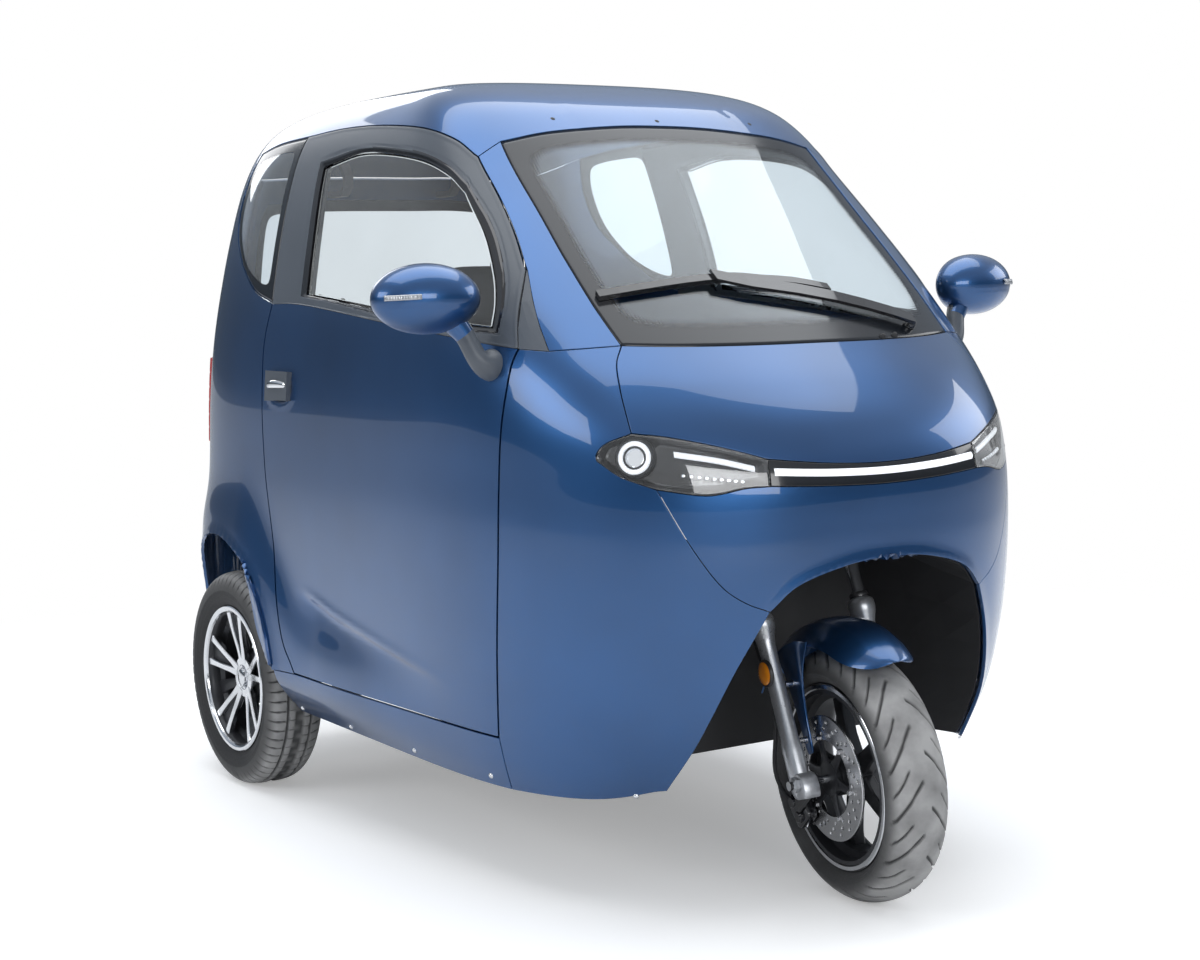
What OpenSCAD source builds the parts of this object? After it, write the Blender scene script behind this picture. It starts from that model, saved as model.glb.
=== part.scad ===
// Enclosed electric tricycle: one steered front wheel, two driven rear wheels and a hollow
// two-seat cabin with side doors and a tailgate. Millimetres, +Z up, the nose points to -Y, the
// vehicle's right-hand side is -X, and the origin is on the floor under the middle.

/* [Running gear] */
// Front axle position along Y
front_axle_y = -860; // [-880:5:-850]
// Rear axle position along Y
rear_axle_y = 700; // [690:5:715]
// Front tyre outer radius
front_tyre_r = 243; // [238:1:246]
// Front tyre section width
front_tyre_w = 130; // [110:2:134]
// Front rim outer radius
front_rim_r = 177; // [168:1:180]
// Rear tyre outer radius
rear_tyre_r = 252; // [246:1:256]
// Rear tyre section width
rear_tyre_w = 138; // [125:1:140]
// Rear rim outer radius
rear_rim_r = 172; // [164:1:178]
// Rear track, between the middles of the tyres
rear_track = 1090; // [1084:2:1094]

/* [Steering] */
// Rake of the steering axis from the vertical
rake = 22; // [20:1:24]
// Distance from the steering axis forward to the plane of the fork legs
leg_offset = 30; // [26:1:34]
// Distance from the plane of the fork legs forward to the axle
axle_lead = 18; // [14:1:22]
// Steering angle at which the machine is parked
parked_steer = -9; // [-12:1:12]
// Half distance between the fork legs
fork_half = 112; // [108:1:116]
// Outer radius of the brake disc
disc_r = 119; // [110:1:122]

/* [Body] */
// Thickness of the plastic body panels
panel_t = 7; // [5:1:8]
// Thickness of a whole door below its window
door_t = 30; // [26:1:34]
// Thickness of a door's window frame
frame_t = 26; // [22:1:30]
// Thickness of the glass
glass_t = 5; // [4:0.5:6]
// Gap between a door or the tailgate and the panels round it
shut_gap = 6; // [5:0.5:7]
// Gap between fixed panels
seam_gap = 0.6; // [0.4:0.1:0.9]
// Largest half width over the rear wheels
flare_half = 634; // [628:1:640]
// Height of the cabin floor
floor_z = 306; // [302:1:312]

/* [Hidden] */
$fn = 48;

// BODY SURFACE
// Each row is one level of the body. v is its height up to 1500 and the way over the roof
// beyond that; z is the height; front and rear are where the level ends on the centre line;
// half is its half width; nf and mf tell how square its front half is across and along, nr
// and mr its rear half.
//   v     z    front  rear half  nf   mf   nr   mr
LEVELS = [
    [ 200,  200, -800, 1075, 545, 2.5, 4.4, 4.0, 6.0],
    [ 260,  260, -842, 1082, 564, 2.5, 4.2, 4.0, 6.0],
    [ 360,  360, -900, 1088, 580, 2.5, 4.0, 4.0, 6.0],
    [ 480,  480, -930, 1092, 594, 2.5, 4.0, 4.0, 6.0],
    [ 600,  600, -945, 1094, 600, 2.5, 4.0, 4.0, 6.0],
    [ 720,  720, -948, 1094, 602, 2.5, 4.0, 4.0, 6.0],
    [ 820,  820, -940, 1092, 600, 2.5, 4.0, 4.0, 6.0],
    [ 900,  900, -905, 1088, 597, 2.5, 4.3, 4.0, 6.0],
    [ 980,  980, -832, 1083, 591, 2.5, 4.8, 4.0, 6.0],
    [1060, 1060, -735, 1077, 581, 2.5, 5.5, 4.0, 6.0],
    [1160, 1160, -614, 1068, 563, 2.6, 6.0, 4.0, 6.0],
    [1280, 1280, -472, 1053, 537, 2.7, 6.2, 4.0, 6.0],
    [1400, 1400, -336, 1032, 504, 2.8, 5.8, 4.0, 6.0],
    [1480, 1480, -246, 1004, 474, 3.0, 5.6, 4.0, 5.5],
    [1540, 1532, -176,  966, 440, 3.0, 5.0, 3.6, 5.0],
    [1600, 1568,  -90,  905, 390, 3.0, 4.4, 3.2, 4.0],
    [1680, 1592,   10,  810, 305, 2.8, 4.0, 2.8, 3.0],
    [1780, 1604,  150,  690, 195, 2.4, 3.0, 2.4, 2.6],
    [1900, 1609,  330,  520,  70, 2.0, 2.2, 2.0, 2.2]];
// The widest place lies here up to the roof, and over the roof it moves back to the pole
widest_y = 100;
function widest(v) = widest_y + (roof_pole[1] - widest_y) * smooth(1560, 1900, v);
roof_pole = [0, 425, 1609.6];

function row_of(v, i = 0) = i >= len(LEVELS) - 2 || v < LEVELS[i + 1][0] ? i : row_of(v, i + 1);
function slope(i, c) =
    let (a = max(0, i - 1), b = min(len(LEVELS) - 1, i + 1))
    (LEVELS[b][c] - LEVELS[a][c]) / (LEVELS[b][0] - LEVELS[a][0]);
function level(v, c) =
    let (i = row_of(v), h = LEVELS[i + 1][0] - LEVELS[i][0], t = (v - LEVELS[i][0]) / h)
    (2 * t * t * t - 3 * t * t + 1) * LEVELS[i][c] + (t * t * t - 2 * t * t + t) * h * slope(i, c)
    + (3 * t * t - 2 * t * t * t) * LEVELS[i + 1][c] + (t * t * t - t * t) * h * slope(i + 1, c);
function smooth(a, b, v) = let (t = min(1, max(0, (v - a) / (b - a)))) t * t * (3 - 2 * t);

// How far the haunch over the rear wheel stands out; it starts low on the door and climbs
function flare(y, z) =
    let (on_door = smooth(-350, 300, y), at_wheel = smooth(250, 620, y),
        top = 340 + 80 * on_door + 240 * at_wheel, reach = flare_half - 24 * (1 - at_wheel))
    on_door * smooth(195, 330, z) * max(0, reach - level(min(z, 900), 4)) / (1 + exp((z - top) / 32));

// The body surface. a runs from 0 at the nose's centre line over 90 at the widest place to
// 180 at the tail's centre line on the right-hand side; a negative a is the left-hand side.
function skin(a0, v) =
    let (a = a0 > 180 ? a0 - 360 : a0, s = abs(a), right = a < 0 ? 1 : -1, ahead = s <= 90,
        half = level(v, 4),
        n = level(v, ahead ? 5 : 7), m = level(v, ahead ? 6 : 8), z = level(v, 1),
        end = level(v, ahead ? 2 : 3),
        y = widest(v) + (end - widest(v)) * pow(abs(cos(s)), 2 / m),
        x = half * pow(abs(sin(s)), 2 / n))
    [right * (x + flare(y, z) * x / half), y, z];
// Outward normal, from short steps on the surface
function skin_normal(a0, v) =
    let (a = a0 > 180 ? a0 - 360 : a0, da = 0.3, dv = 3, s = min(179, max(1, abs(a))),
        b = a < 0 ? -s : s,
        p = skin(b + da, v) - skin(b - da, v), q = skin(b, v + dv) - skin(b, v - dv))
    unit(cross(q, p));
function unit(v) = v / max(norm(v), 1e-9);
function lerp(a, b, t) = a + (b - a) * t;

// Chart place [a, v] of [y, z] on the side, and of [x, z] on the nose or the tail, given with
// x counted from the centre line to the right
function side(points) = [for (p = points)
    let (v = v_of(p[1]), ahead = p[0] < widest_y, end = level(v, ahead ? 2 : 3),
        a = acos(min(1, pow(abs((p[0] - widest_y) / (end - widest_y)), level(v, ahead ? 6 : 8) / 2))))
    [ahead ? a : 180 - a, v]];
function nose(points) = [for (p = points)
    let (v = v_of(p[1])) [sign(p[0]) * asin(min(1, pow(abs(p[0]) / level(v, 4), level(v, 5) / 2))), v]];
function tail(points) = [for (p = points)
    let (v = v_of(p[1]), s = 180 - asin(min(1, pow(abs(p[0]) / level(v, 4), level(v, 7) / 2))))
    [p[0] < 0 ? 360 - s : s, v]];
// The chart's v at a height: the two differ only over the roof
function v_of(z) = z <= 1480 ? z : z + smooth(1480, 1532, z) * 8 * (z - 1480) / 52;

// Smooth line of n steps through points, and lines put end to end
function spline(p, t) =
    let (k = min(floor(t), len(p) - 2), u = t - k, b = p[k], c = p[k + 1],
        a = k > 0 ? p[k - 1] : 2 * b - c, d = k < len(p) - 2 ? p[k + 2] : 2 * c - b)
    0.5 * (2 * b + (c - a) * u + (2 * a - 5 * b + 4 * c - d) * u * u
        + (3 * b - a - 3 * c + d) * u * u * u);
function line(p, n) = [for (i = [0:n]) spline(p, (len(p) - 1) * i / n)];
function joined(lists) =
    let (last = lists[len(lists) - 1])
    concat([for (l = lists) for (i = [0:len(l) - 2]) l[i]], [last[len(last) - 1]]);
function reversed(l) = [for (i = [len(l) - 1:-1:0]) l[i]];
function mirrored(l) = [for (p = l) [-p[0], p[1]]];
function tail_mirrored(l) = [for (p = l) [360 - p[0], p[1]]];

// Grid of chart places inside four lines (a Coons patch), row after row from low to high
function coons(low, high, left, right) =
    let (n = len(low) - 1, m = len(left) - 1)
    [for (j = [0:m]) for (i = [0:n]) let (s = i / n, t = j / m)
        (1 - t) * low[i] + t * high[i] + (1 - s) * left[j] + s * right[j]
        - (1 - s) * (1 - t) * low[0] - s * (1 - t) * low[n] - (1 - s) * t * high[0] - s * t * high[n]];
// The same grid with its rims drawn in over the surface by gaps [left, right, low, high]
function drawn_in(g, k, gaps) =
    let (rows = len(g) / k)
    [for (j = [0:rows - 1]) for (i = [0:k - 1])
        let (c = g[j * k + i], up = g[min(rows - 1, j + 1) * k + i], down = g[max(0, j - 1) * k + i],
            on = g[j * k + min(k - 1, i + 1)], back = g[j * k + max(0, i - 1)],
            across = i == 0 ? on : back, along = j == 0 ? up : down,
            on_side = i == 0 || i == k - 1, on_end = j == 0 || j == rows - 1,
            g1 = i == 0 ? gaps[0] : gaps[1], g2 = j == 0 ? gaps[2] : gaps[3])
        on_side && on_end
            ? c + moved(c, mitre(off_edge(c, along, across), g1, off_edge(c, across, along), g2))
            : on_side ? c + moved(c, mitre(off_edge(c, up, across), g1, off_edge(c, down, across), g1))
            : on_end ? c + moved(c, mitre(off_edge(c, on, along), g2, off_edge(c, back, along), g2)) : c];
// Direction in the surface, square to the edge from c to q, on the side of the place to
function off_edge(c, q, to) =
    let (p = skin(c[0], c[1]), d = unit(cross(skin_normal(c[0], c[1]), skin(q[0], q[1]) - p)))
    d * (skin(to[0], to[1]) - p) < 0 ? -d : d;
// Step that is g1 long along d1 and g2 long along d2
function mitre(d1, g1, d2, g2) =
    let (c = d1 * d2)
    c > 0.9 || c < -0.6 ? (g1 + g2) / 2 * (d1 + d2) / max(0.4, 1 + c)
        : ((g1 - g2 * c) * d1 + (g2 - g1 * c) * d2) / (1 - c * c);
// Chart step of a step w in space
function moved(c, w) =
    let (p = (skin(c[0] + 0.2, c[1]) - skin(c[0] - 0.2, c[1])) / 0.4,
        q = (skin(c[0], c[1] + 2) - skin(c[0], c[1] - 2)) / 4,
        det = (p * p) * (q * q) - (p * q) * (p * q))
    [((w * p) * (q * q) - (w * q) * (p * q)) / det, ((p * p) * (w * q) - (p * q) * (w * p)) / det];

// A panel of the body inside four lines, t thick inward from depth below the surface. bevel
// draws its inner rims in further.
seam = seam_gap / 2;
module panel(low, high, left, right, t, gaps = [seam, seam, seam, seam], depth = 0, bevel = [0, 0, 0, 0]) {
    k = len(low);
    assert(len(low) == len(high) && len(left) == len(right));
    g = coons(low, high, left, right);
    skin_solid(drawn_in(g, k, gaps), k, t, depth, under = drawn_in(g, k, gaps + bevel));
}
// A frame between an outer and an inner closed line, with a gap for each edge of its outer line
module frame_panel(outer, inner, gaps, t, bevel = 0) {
    k = len(outer);
    mid = [for (i = [0:k - 1]) lerp(outer[i], inner[i], 0.55)];
    skin_solid(concat(ring_in(outer, inner, gaps, 0), mid, inner), k, t, 0, true,
        under = concat(ring_in(outer, inner, gaps, bevel), mid, inner));
}
function ring_in(outer, inner, gaps, more) =
    let (k = len(outer))
    [for (i = [0:k - 1]) let (c = outer[i], b = (i + k - 1) % k)
        c + moved(c, mitre(off_edge(c, outer[b], inner[i]), gaps[b] + more,
            off_edge(c, outer[(i + 1) % k], inner[i]), gaps[i] + more))];
module skin_solid(grid, k, t, depth = 0, ring = false, pole = [], under = []) {
    low = under == [] ? grid : under;
    shell([for (c = grid) skin(c[0], c[1]) - depth * skin_normal(c[0], c[1])],
        [for (c = low) skin(c[0], c[1]) - (depth + t) * skin_normal(c[0], c[1])], k, ring, pole);
}
// Closes an outer and an inner grid of rows of k points into one solid; a ring may end in a
// pole, given as its outer and inner point
module shell(outer, inner, k, ring = false, pole = []) {
    m = len(outer);
    rows = m / k;
    cols = ring ? k : k - 1;
    mid = floor(rows / 2 - 0.5) * k;
    up = cross(outer[mid + 1] - outer[mid], outer[mid + k] - outer[mid]);
    turned = up * (outer[mid] - inner[mid]) > 0;
    last = (rows - 1) * k;
    quads = concat(
        [for (j = [0:rows - 2]) for (i = [0:cols - 1])
            let (a = j * k + i, b = j * k + (i + 1) % k) [a, b, b + k, a + k]],
        [for (j = [0:rows - 2]) for (i = [0:cols - 1])
            let (a = m + j * k + i, b = m + j * k + (i + 1) % k) [b, a, a + k, b + k]],
        [for (i = [0:cols - 1]) let (b = (i + 1) % k) [b, i, m + i, m + b]],
        pole == [] ? [for (i = [0:cols - 1]) let (a = last + i, b = last + (i + 1) % k)
            [a, b, m + b, m + a]] : [],
        ring ? [] : [for (j = [0:rows - 2]) let (a = j * k) [a, a + k, m + a + k, m + a]],
        ring ? [] : [for (j = [0:rows - 2]) let (a = j * k + k - 1) [a + k, a, m + a, m + a + k]]);
    fans = pole == [] ? [] : concat(
        [for (i = [0:k - 1]) [last + i, last + (i + 1) % k, 2 * m]],
        [for (i = [0:k - 1]) [m + last + (i + 1) % k, m + last + i, 2 * m + 1]]);
    faces = concat([for (q = quads) for (f = [[q[0], q[1], q[2]], [q[0], q[2], q[3]]]) f], fans);
    polyhedron(concat(outer, inner, pole), [for (f = faces) turned ? [f[2], f[1], f[0]] : f]);
}
module both_sides() {
    children();
    mirror([1, 0, 0]) children();
}

// LINES WHERE THE PANELS MEET, on the right-hand side
corner = [396, 1056];
hood_side = line(nose([[442, 904], [440, 940], [434, 980], [420, 1024], corner]), 5);
lamp_top = line(nose([[442, 904], [400, 898], [349, 886], [296, 871], [243, 854]]), 6);
lamp_low = line(nose([[422, 805], [363, 794], [333, 795], [291, 804], [246, 806]]), 6);
lamp_end = nose([[422, 805], [463, 826], [481, 845], [490, 860], [478, 884], [442, 904]]);
lamp_joint = line(nose([[246, 806], [243, 854]]), 3);
bar_low = line(nose([[246, 806], [120, 800], [0, 797], [-120, 800], [-246, 806]]), 16);
bar_top = line(nose([[243, 854], [120, 841], [0, 836], [-120, 841], [-243, 854]]), 16);
nose_side = line(nose([[251, 582], [295, 601], [336, 635], [381, 708], [422, 805]]), 6);
arch_side = line(nose([[362, 240], [347, 314], [330, 390], [300, 480], [251, 582]]), 6);
arch_top = line(nose([[251, 582], [196, 627], [93, 656], [0, 662], [-93, 656], [-196, 627],
    [-251, 582]]), 28);
glass_low = line(nose([corner, [300, 1052], [150, 1050], [0, 1050], [-150, 1050], [-300, 1052],
    [-corner[0], corner[1]]]), 28);
glass_side = line(nose([corner, [402, 1120], [402, 1214], [396, 1320], [386, 1450]]), 8);
header = line(nose([[386, 1450], [270, 1472], [120, 1486], [0, 1489], [-120, 1486], [-270, 1472],
    [-386, 1450]]), 28);
pillar_low = line(concat(nose([corner]), side([[-586, 1048]])), 3);
sail_low = line(side([[-586, 1048], [-531, 1052]]), 2);
sail_front = line(side([[-586, 1048], [-530, 1115], [-466, 1196]]), 3);
sail_rear = line(side([[-531, 1052], [-505, 1110], [-466, 1196]]), 3);
frame_front = line(side([[-466, 1196], [-398, 1269], [-323, 1341], [-236, 1420]]), 5);
pillar_top = line(concat(nose([[386, 1450]]), side([[-236, 1420]])), 3);
roof_side = line(side([[-236, 1420], [-167, 1460], [-56, 1489], [140, 1506], [320, 1510],
    [488, 1504]]), 8);
pillar_rear = line(side([[478, 1132], [488, 1300], [488, 1504]]), 8);
glass_top = line(side([[488, 1504], [640, 1498], [772, 1482]]), 3);
glass_bottom = line(side([[478, 1132], [587, 1160], [690, 1218]]), 3);
glass_back = line(side([[690, 1218], [782, 1300], [806, 1390], [772, 1482]]), 8);
roof_corner = line(concat(side([[772, 1482]]), tail([[372, 1432]])), 4);
hatch_top = line(tail([[372, 1432], [200, 1440], [0, 1442], [-200, 1440], [-372, 1432]]), 10);
hatch_side = line(tail([[445, 690], [440, 860], [424, 1080], [400, 1280], [372, 1432]]), 8);
hatch_low = line(tail([[445, 690], [250, 684], [0, 682], [-250, 684], [-445, 690]]), 10);
tail_side = line(tail([[455, 300], [452, 480], [445, 690]]), 4);
door_front = side([[-455, 312], [-471, 389], [-492, 508], [-509, 662], [-514, 811], [-519, 904],
    [-524, 968], [-526, 1023], [-531, 1052]]);
door_rear = side([[331, 321], [347, 342], [381, 387], [410, 475], [441, 607], [471, 740], [486, 851],
    [493, 963], [496, 1050], [478, 1132]]);
door_low = line(side([[-455, 312], [331, 321]]), 12);
sill_front = line(side([[-451, 206], [-455, 312]]), 2);
waist = line(side([[-531, 1052], [-309, 1076], [-60, 1098], [316, 1130], [478, 1132]]), 12);
arch_rear = line(side([[425, 318], [446, 400], [486, 480], [560, 550], [690, 592], [820, 580],
    [908, 525], [958, 430], [973, 300]]), 12);
skirt_low = line(concat([arch_side[0]], side([[-640, 214], [-451, 206]])), 5);
sill_low = line(side([[-451, 206], [425, 214]]), 14);
sill_rear = line(side([[425, 214], [425, 318]]), 2);
sill_back = line(side([[331, 321], [425, 318]]), 2);

blue = [0.03, 0.12, 0.33];
black = [0.06, 0.06, 0.07];
clear = [0.55, 0.65, 0.72, 0.35];

// FIXED BODY PANELS
module nose_panel() color(blue)
    panel(arch_top, joined([lamp_low, bar_low, reversed(mirrored(lamp_low))]), nose_side,
        mirrored(nose_side), panel_t);
module hood_panel() color(blue)
    panel(joined([lamp_top, bar_top, reversed(mirrored(lamp_top))]), glass_low, hood_side,
        mirrored(hood_side), panel_t);
module cowl_panels() color(blue) both_sides()
    panel(skirt_low, joined([pillar_low, sail_low]), joined([arch_side, nose_side, lamp_end, hood_side]),
        joined([sill_front, line(door_front, 20)]), panel_t);
module sill_panels() color(blue) both_sides()
    panel(sill_low, joined([door_low, sill_back]), sill_front, sill_rear, panel_t);
module pillar_panels() color(blue) both_sides()
    panel(pillar_low, pillar_top, glass_side, joined([sail_front, frame_front]), panel_t);
module sail_trims() color(black) both_sides()
    panel(sail_low, line([sail_front[3], sail_front[3] + [0.6, 1]], 2), sail_front, sail_rear, panel_t);
module quarter_panels() color(blue) both_sides()
    panel(joined([sill_back, arch_rear, line(concat([arch_rear[12]], [tail_side[0]]), 1)]),
        joined([glass_bottom, glass_back, roof_corner]), line(door_rear, 12),
        joined([tail_side, hatch_side]), panel_t);
module quarter_glass() color(clear) both_sides()
    panel(glass_bottom, glass_top, pillar_rear, glass_back, glass_t, depth = 1);
module windshield() color(clear)
    panel(glass_low, header, glass_side, mirrored(glass_side), glass_t, depth = 1);
module rear_panel() color(blue)
    panel(line(tail([[455, 300], [0, 300], [-455, 300]]), 10), hatch_low, tail_side,
        tail_mirrored(tail_side), panel_t);
module roof_shell() color(blue) {
    right = joined([pillar_top, roof_side, glass_top, roof_corner]);
    edge = joined([reversed(header), right, hatch_top, reversed(tail_mirrored(right))]);
    k = len(edge) - 1;
    rows = 10;
    skin_solid([for (j = [0:rows]) for (i = [0:k - 1])
        let (c = edge[i], top = [c[0], 1900])
        lerp(c + moved(c, seam * off_edge(c, edge[(i + 1) % k], top)), top, j / rows)], k, panel_t,
        ring = true, pole = [roof_pole, roof_pole - [0, 0, panel_t]]);
}

// LAMPS
module headlamps() color(clear) both_sides()
    panel(joined([reversed(lamp_low), [lamp_end[0], lamp_end[1]]]),
        joined([reversed(lamp_top), [lamp_end[5], lamp_end[4]]]), lamp_joint,
        [lamp_end[1], lamp_end[2], lamp_end[3], lamp_end[4]], 26, [seam, 1, 1, 1]);
module light_bar() color([0.8, 0.82, 0.85])
    panel(bar_low, bar_top, lamp_joint, mirrored(lamp_joint), 20);
module tail_lamps() color([0.5, 0.04, 0.04]) both_sides()
    panel(line(tail([[520, 790], [470, 790]]), 3), line(tail([[516, 1000], [466, 1000]]), 3),
        line(tail([[520, 790], [516, 1000]]), 4), line(tail([[470, 790], [466, 1000]]), 4), 10,
        depth = -10.8);

// DOORS AND TAILGATE
edge_gap = shut_gap - seam;
frame_outer = joined([sail_rear, frame_front, roof_side, reversed(pillar_rear), reversed(waist)]);
glass_fore = line(side([[-458, 1090], [-446, 1140], [-412, 1198], [-350, 1272], [-262, 1352]]), 8);
over_points = line([[-262, 1352], [-190, 1394], [-90, 1424], [60, 1444], [200, 1450], [350, 1430]], 8);
glass_over = side(over_points);
glass_aft = line(side([[312, 1152], [326, 1280], [350, 1430]]), 8);
glass_under = line(side([[-458, 1090], [-300, 1100], [-60, 1120], [312, 1152]]), 12);
frame_inner = joined([glass_fore, glass_over, reversed(glass_aft), reversed(glass_under)]);
frame_gaps = [for (i = [0:35]) i < 3 ? edge_gap + 0.8 : i < 24 ? edge_gap : seam];
hinge_axis = [-538.5, -556];
hinge_levels = [640, 870];
hinge_pin_r = 4;

module door_skin_right() color(blue)
    panel(door_low, waist, line(door_front, 12), line(door_rear, 12), door_t,
        [edge_gap, edge_gap, edge_gap, seam], bevel = [10, 0, 0, 0]);
module door_frame_right() color(black)
    frame_panel([for (i = [0:len(frame_outer) - 2]) frame_outer[i]],
        [for (i = [0:len(frame_inner) - 2]) frame_inner[i]], frame_gaps, frame_t);
module door_glass_right() color(clear)
    panel(glass_under, side([for (i = [0:12]) between(over_points, i * 8 / 12)]), glass_fore, glass_aft,
        glass_t, [0.7, 0.7, 0.7, 1.6], 8);
function between(l, t) = lerp(l[floor(t)], l[min(floor(t) + 1, len(l) - 1)], t - floor(t));
// Hinge leaves with their eyes, the pull handle and the mirror's foot
module door_fittings_right() {
    color([0.75, 0.76, 0.78])
        panel(line(side([[335, 922], [450, 918]]), 4), line(side([[335, 985], [450, 985]]), 4),
            line(side([[335, 922], [335, 985]]), 3), line(side([[450, 918], [450, 985]]), 3), 12,
            depth = -12.3);
    color(black) for (z = hinge_levels) {
        seat = max([for (y = [-466, -420], h = [z - 20, z + 20]) side_in(y, h, door_t)]) + 1.6;
        translate([0, 0, z - 20]) difference() {
            union() {
                translate(hinge_axis) cylinder(r = eye_r, h = 40);
                linear_extrude(40) polygon([hinge_axis + [2, -7], hinge_axis + [22, 3], hinge_axis + [52, 42],
                    hinge_axis + [50, 66], [seat + 14, -460], [seat + 6, -420], [seat, -420], [seat, -466],
                    hinge_axis + [35, 66], hinge_axis + [38, 47], hinge_axis + [16, 14],
                    hinge_axis + [-2, 7]]);
            }
            translate([hinge_axis[0], hinge_axis[1], -1]) cylinder(r = hinge_pin_r + 0.3, h = 42);
        }
    }
}
// Where the inner face of a door lies, on the right-hand side
function side_in(y, z, t) =
    let (c = side([[y, z]])[0], p = skin(c[0], c[1]) - t * skin_normal(c[0], c[1])) p[0];
mirror_at = [-676, -445, 1147];
mirror_a = 106;
mirror_b = 66;
mirror_turn = -8;
// Shell of the mirror with a flat back, on a bent arm that stands on the door
module mirror_right() color(blue) {
    foot = skin_at(-476, 1022);
    out = let (c = side([[-476, 1022]])[0]) skin_normal(c[0], c[1]);
    elbow = foot + 30 * out;
    difference() {
        translate(mirror_at) rotate([0, 90, mirror_turn]) rotate_extrude()
            polygon(concat([[0, -mirror_a]],
                [for (a = [-80:10:80]) [mirror_b * cos(a), mirror_a * sin(a)]], [[0, mirror_a]]));
        translate(mirror_at) rotate([0, 0, mirror_turn]) translate([-150, 18, -100]) cube([300, 100, 200]);
    }
    rod(foot + 0.5 * out, elbow, 18, 19);
    translate(elbow) sphere(20.5);
    rod(elbow, [-620, -458, 1102], 19, 18);
}
function skin_at(y, z) = let (c = side([[y, z]])[0]) skin(c[0], c[1]);
module rod(a, b, r1, r2) {
    d = b - a;
    translate(a) rotate([0, acos(d[2] / norm(d)), atan2(d[1], d[0])]) cylinder(r1 = r1, r2 = r2, h = norm(d));
}
module door_skin_left() mirror([1, 0, 0]) door_skin_right();
module door_frame_left() mirror([1, 0, 0]) door_frame_right();
module door_glass_left() mirror([1, 0, 0]) door_glass_right();
module door_fittings_left() mirror([1, 0, 0]) door_fittings_right();
module mirror_left() mirror([1, 0, 0]) mirror_right();

hatch_glass_low = line(tail([[372, 1075], [180, 1066], [0, 1064], [-180, 1066], [-372, 1075]]), 10);
hatch_glass_top = line(tail([[345, 1372], [180, 1384], [0, 1387], [-180, 1384], [-345, 1372]]), 10);
hatch_glass_side = line(tail([[372, 1075], [378, 1120], [366, 1320], [345, 1372]]), 8);
hatch_outer = joined([hatch_side, hatch_top, reversed(tail_mirrored(hatch_side)), reversed(hatch_low)]);
hatch_inner = joined([hatch_glass_side, hatch_glass_top, reversed(tail_mirrored(hatch_glass_side)),
    reversed(hatch_glass_low)]);
hatch_axis = [964, 1496];
hatch_t = 16;
module hatch_frame() color(blue)
    frame_panel([for (i = [0:len(hatch_outer) - 2]) hatch_outer[i]],
        [for (i = [0:len(hatch_inner) - 2]) hatch_inner[i]], [for (i = [0:35]) edge_gap], hatch_t, 8);
module hatch_glass() color(clear)
    panel(hatch_glass_low, hatch_glass_top, hatch_glass_side, tail_mirrored(hatch_glass_side), glass_t,
        depth = 1);
// Tailgate hinge arms under the roof, and its handle
hatch_hinge_x = 150;
hatch_arm_w = 24;
function hatch_inside(z) = let (c = tail([[hatch_hinge_x + hatch_arm_w / 2, z]])[0],
    p = skin(c[0], c[1]) - (hatch_t + 1.6) * skin_normal(c[0], c[1])) [p[1], p[2]];
handle_seat = let (c = tail([[86, 770]])[0]) skin(c[0], c[1]);
module hatch_fittings() color(black) {
    for (s = [-1, 1]) difference() {
        slab(s * hatch_hinge_x, hatch_arm_w) {
            translate(hatch_axis) circle(eye_r);
            polygon([hatch_axis + [3, -7], hatch_axis + [-23, -35], hatch_axis + [-38, -58],
                hatch_axis + [-37, -80], hatch_axis + [-19, -94], hatch_inside(1408), hatch_inside(1392),
                hatch_axis + [-22, -107], hatch_axis + [-50, -86], hatch_axis + [-51, -56],
                hatch_axis + [-34, -30], hatch_axis + [-6, 5]]);
        }
        slab(s * hatch_hinge_x, hatch_arm_w + 4) translate(hatch_axis) circle(hinge_pin_r + 0.3);
    }
    translate([0, handle_seat[1] + 7, 770]) rotate([90, 0, 0]) linear_extrude(6.5) offset_plate(90, 22, 10);
}
// Ears under the roof with the tailgate's hinge pins
roof_seat = let (c = roof_at([hatch_hinge_x + hatch_arm_w / 2 + 8.5, hatch_axis[0] - 34]))
    skin(c[0], c[1]) - (panel_t + 3.4) * skin_normal(c[0], c[1]);
function roof_at(p, lo = 1480, hi = 1700, n = 0) =
    let (v = (lo + hi) / 2, q = pow(p[0] / level(v, 4), level(v, 7))
        + pow((p[1] - widest(v)) / (level(v, 3) - widest(v)), level(v, 8)))
    n > 18 ? [180 - asin(pow(p[0] / level(v, 4), level(v, 7) / 2)), v]
        : q < 1 ? roof_at(p, v, hi, n + 1) : roof_at(p, lo, v, n + 1);
module hatch_brackets() color(black) for (s = [-1, 1]) {
    for (e = [-1, 1]) slab(s * hatch_hinge_x + e * (hatch_arm_w / 2 + 4.5), 8) {
        translate(hatch_axis) circle(eye_r);
        polygon([hatch_axis + [-6, -6], hatch_axis + [2, 8], [roof_seat[1] + 12, roof_seat[2] - 9],
            [roof_seat[1] - 12, roof_seat[2] - 8]]);
    }
    slab(s * hatch_hinge_x, hatch_arm_w + 17) polygon([[roof_seat[1] - 12, roof_seat[2] - 8],
        [roof_seat[1] + 12, roof_seat[2] - 9], [roof_seat[1] + 2, roof_seat[2] - 0.6],
        [roof_seat[1] - 10, roof_seat[2]]]);
    slab(s * hatch_hinge_x, hatch_arm_w + 2) translate(hatch_axis) circle(hinge_pin_r);
}
// Plate with round corners
module offset_plate(x, y, r) {
    square([2 * x - 2 * r, 2 * y], center = true);
    square([2 * x, 2 * y - 2 * r], center = true);
    for (i = [-1, 1], j = [-1, 1]) translate([i * (x - r), j * (y - r)]) circle(r);
}

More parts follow.
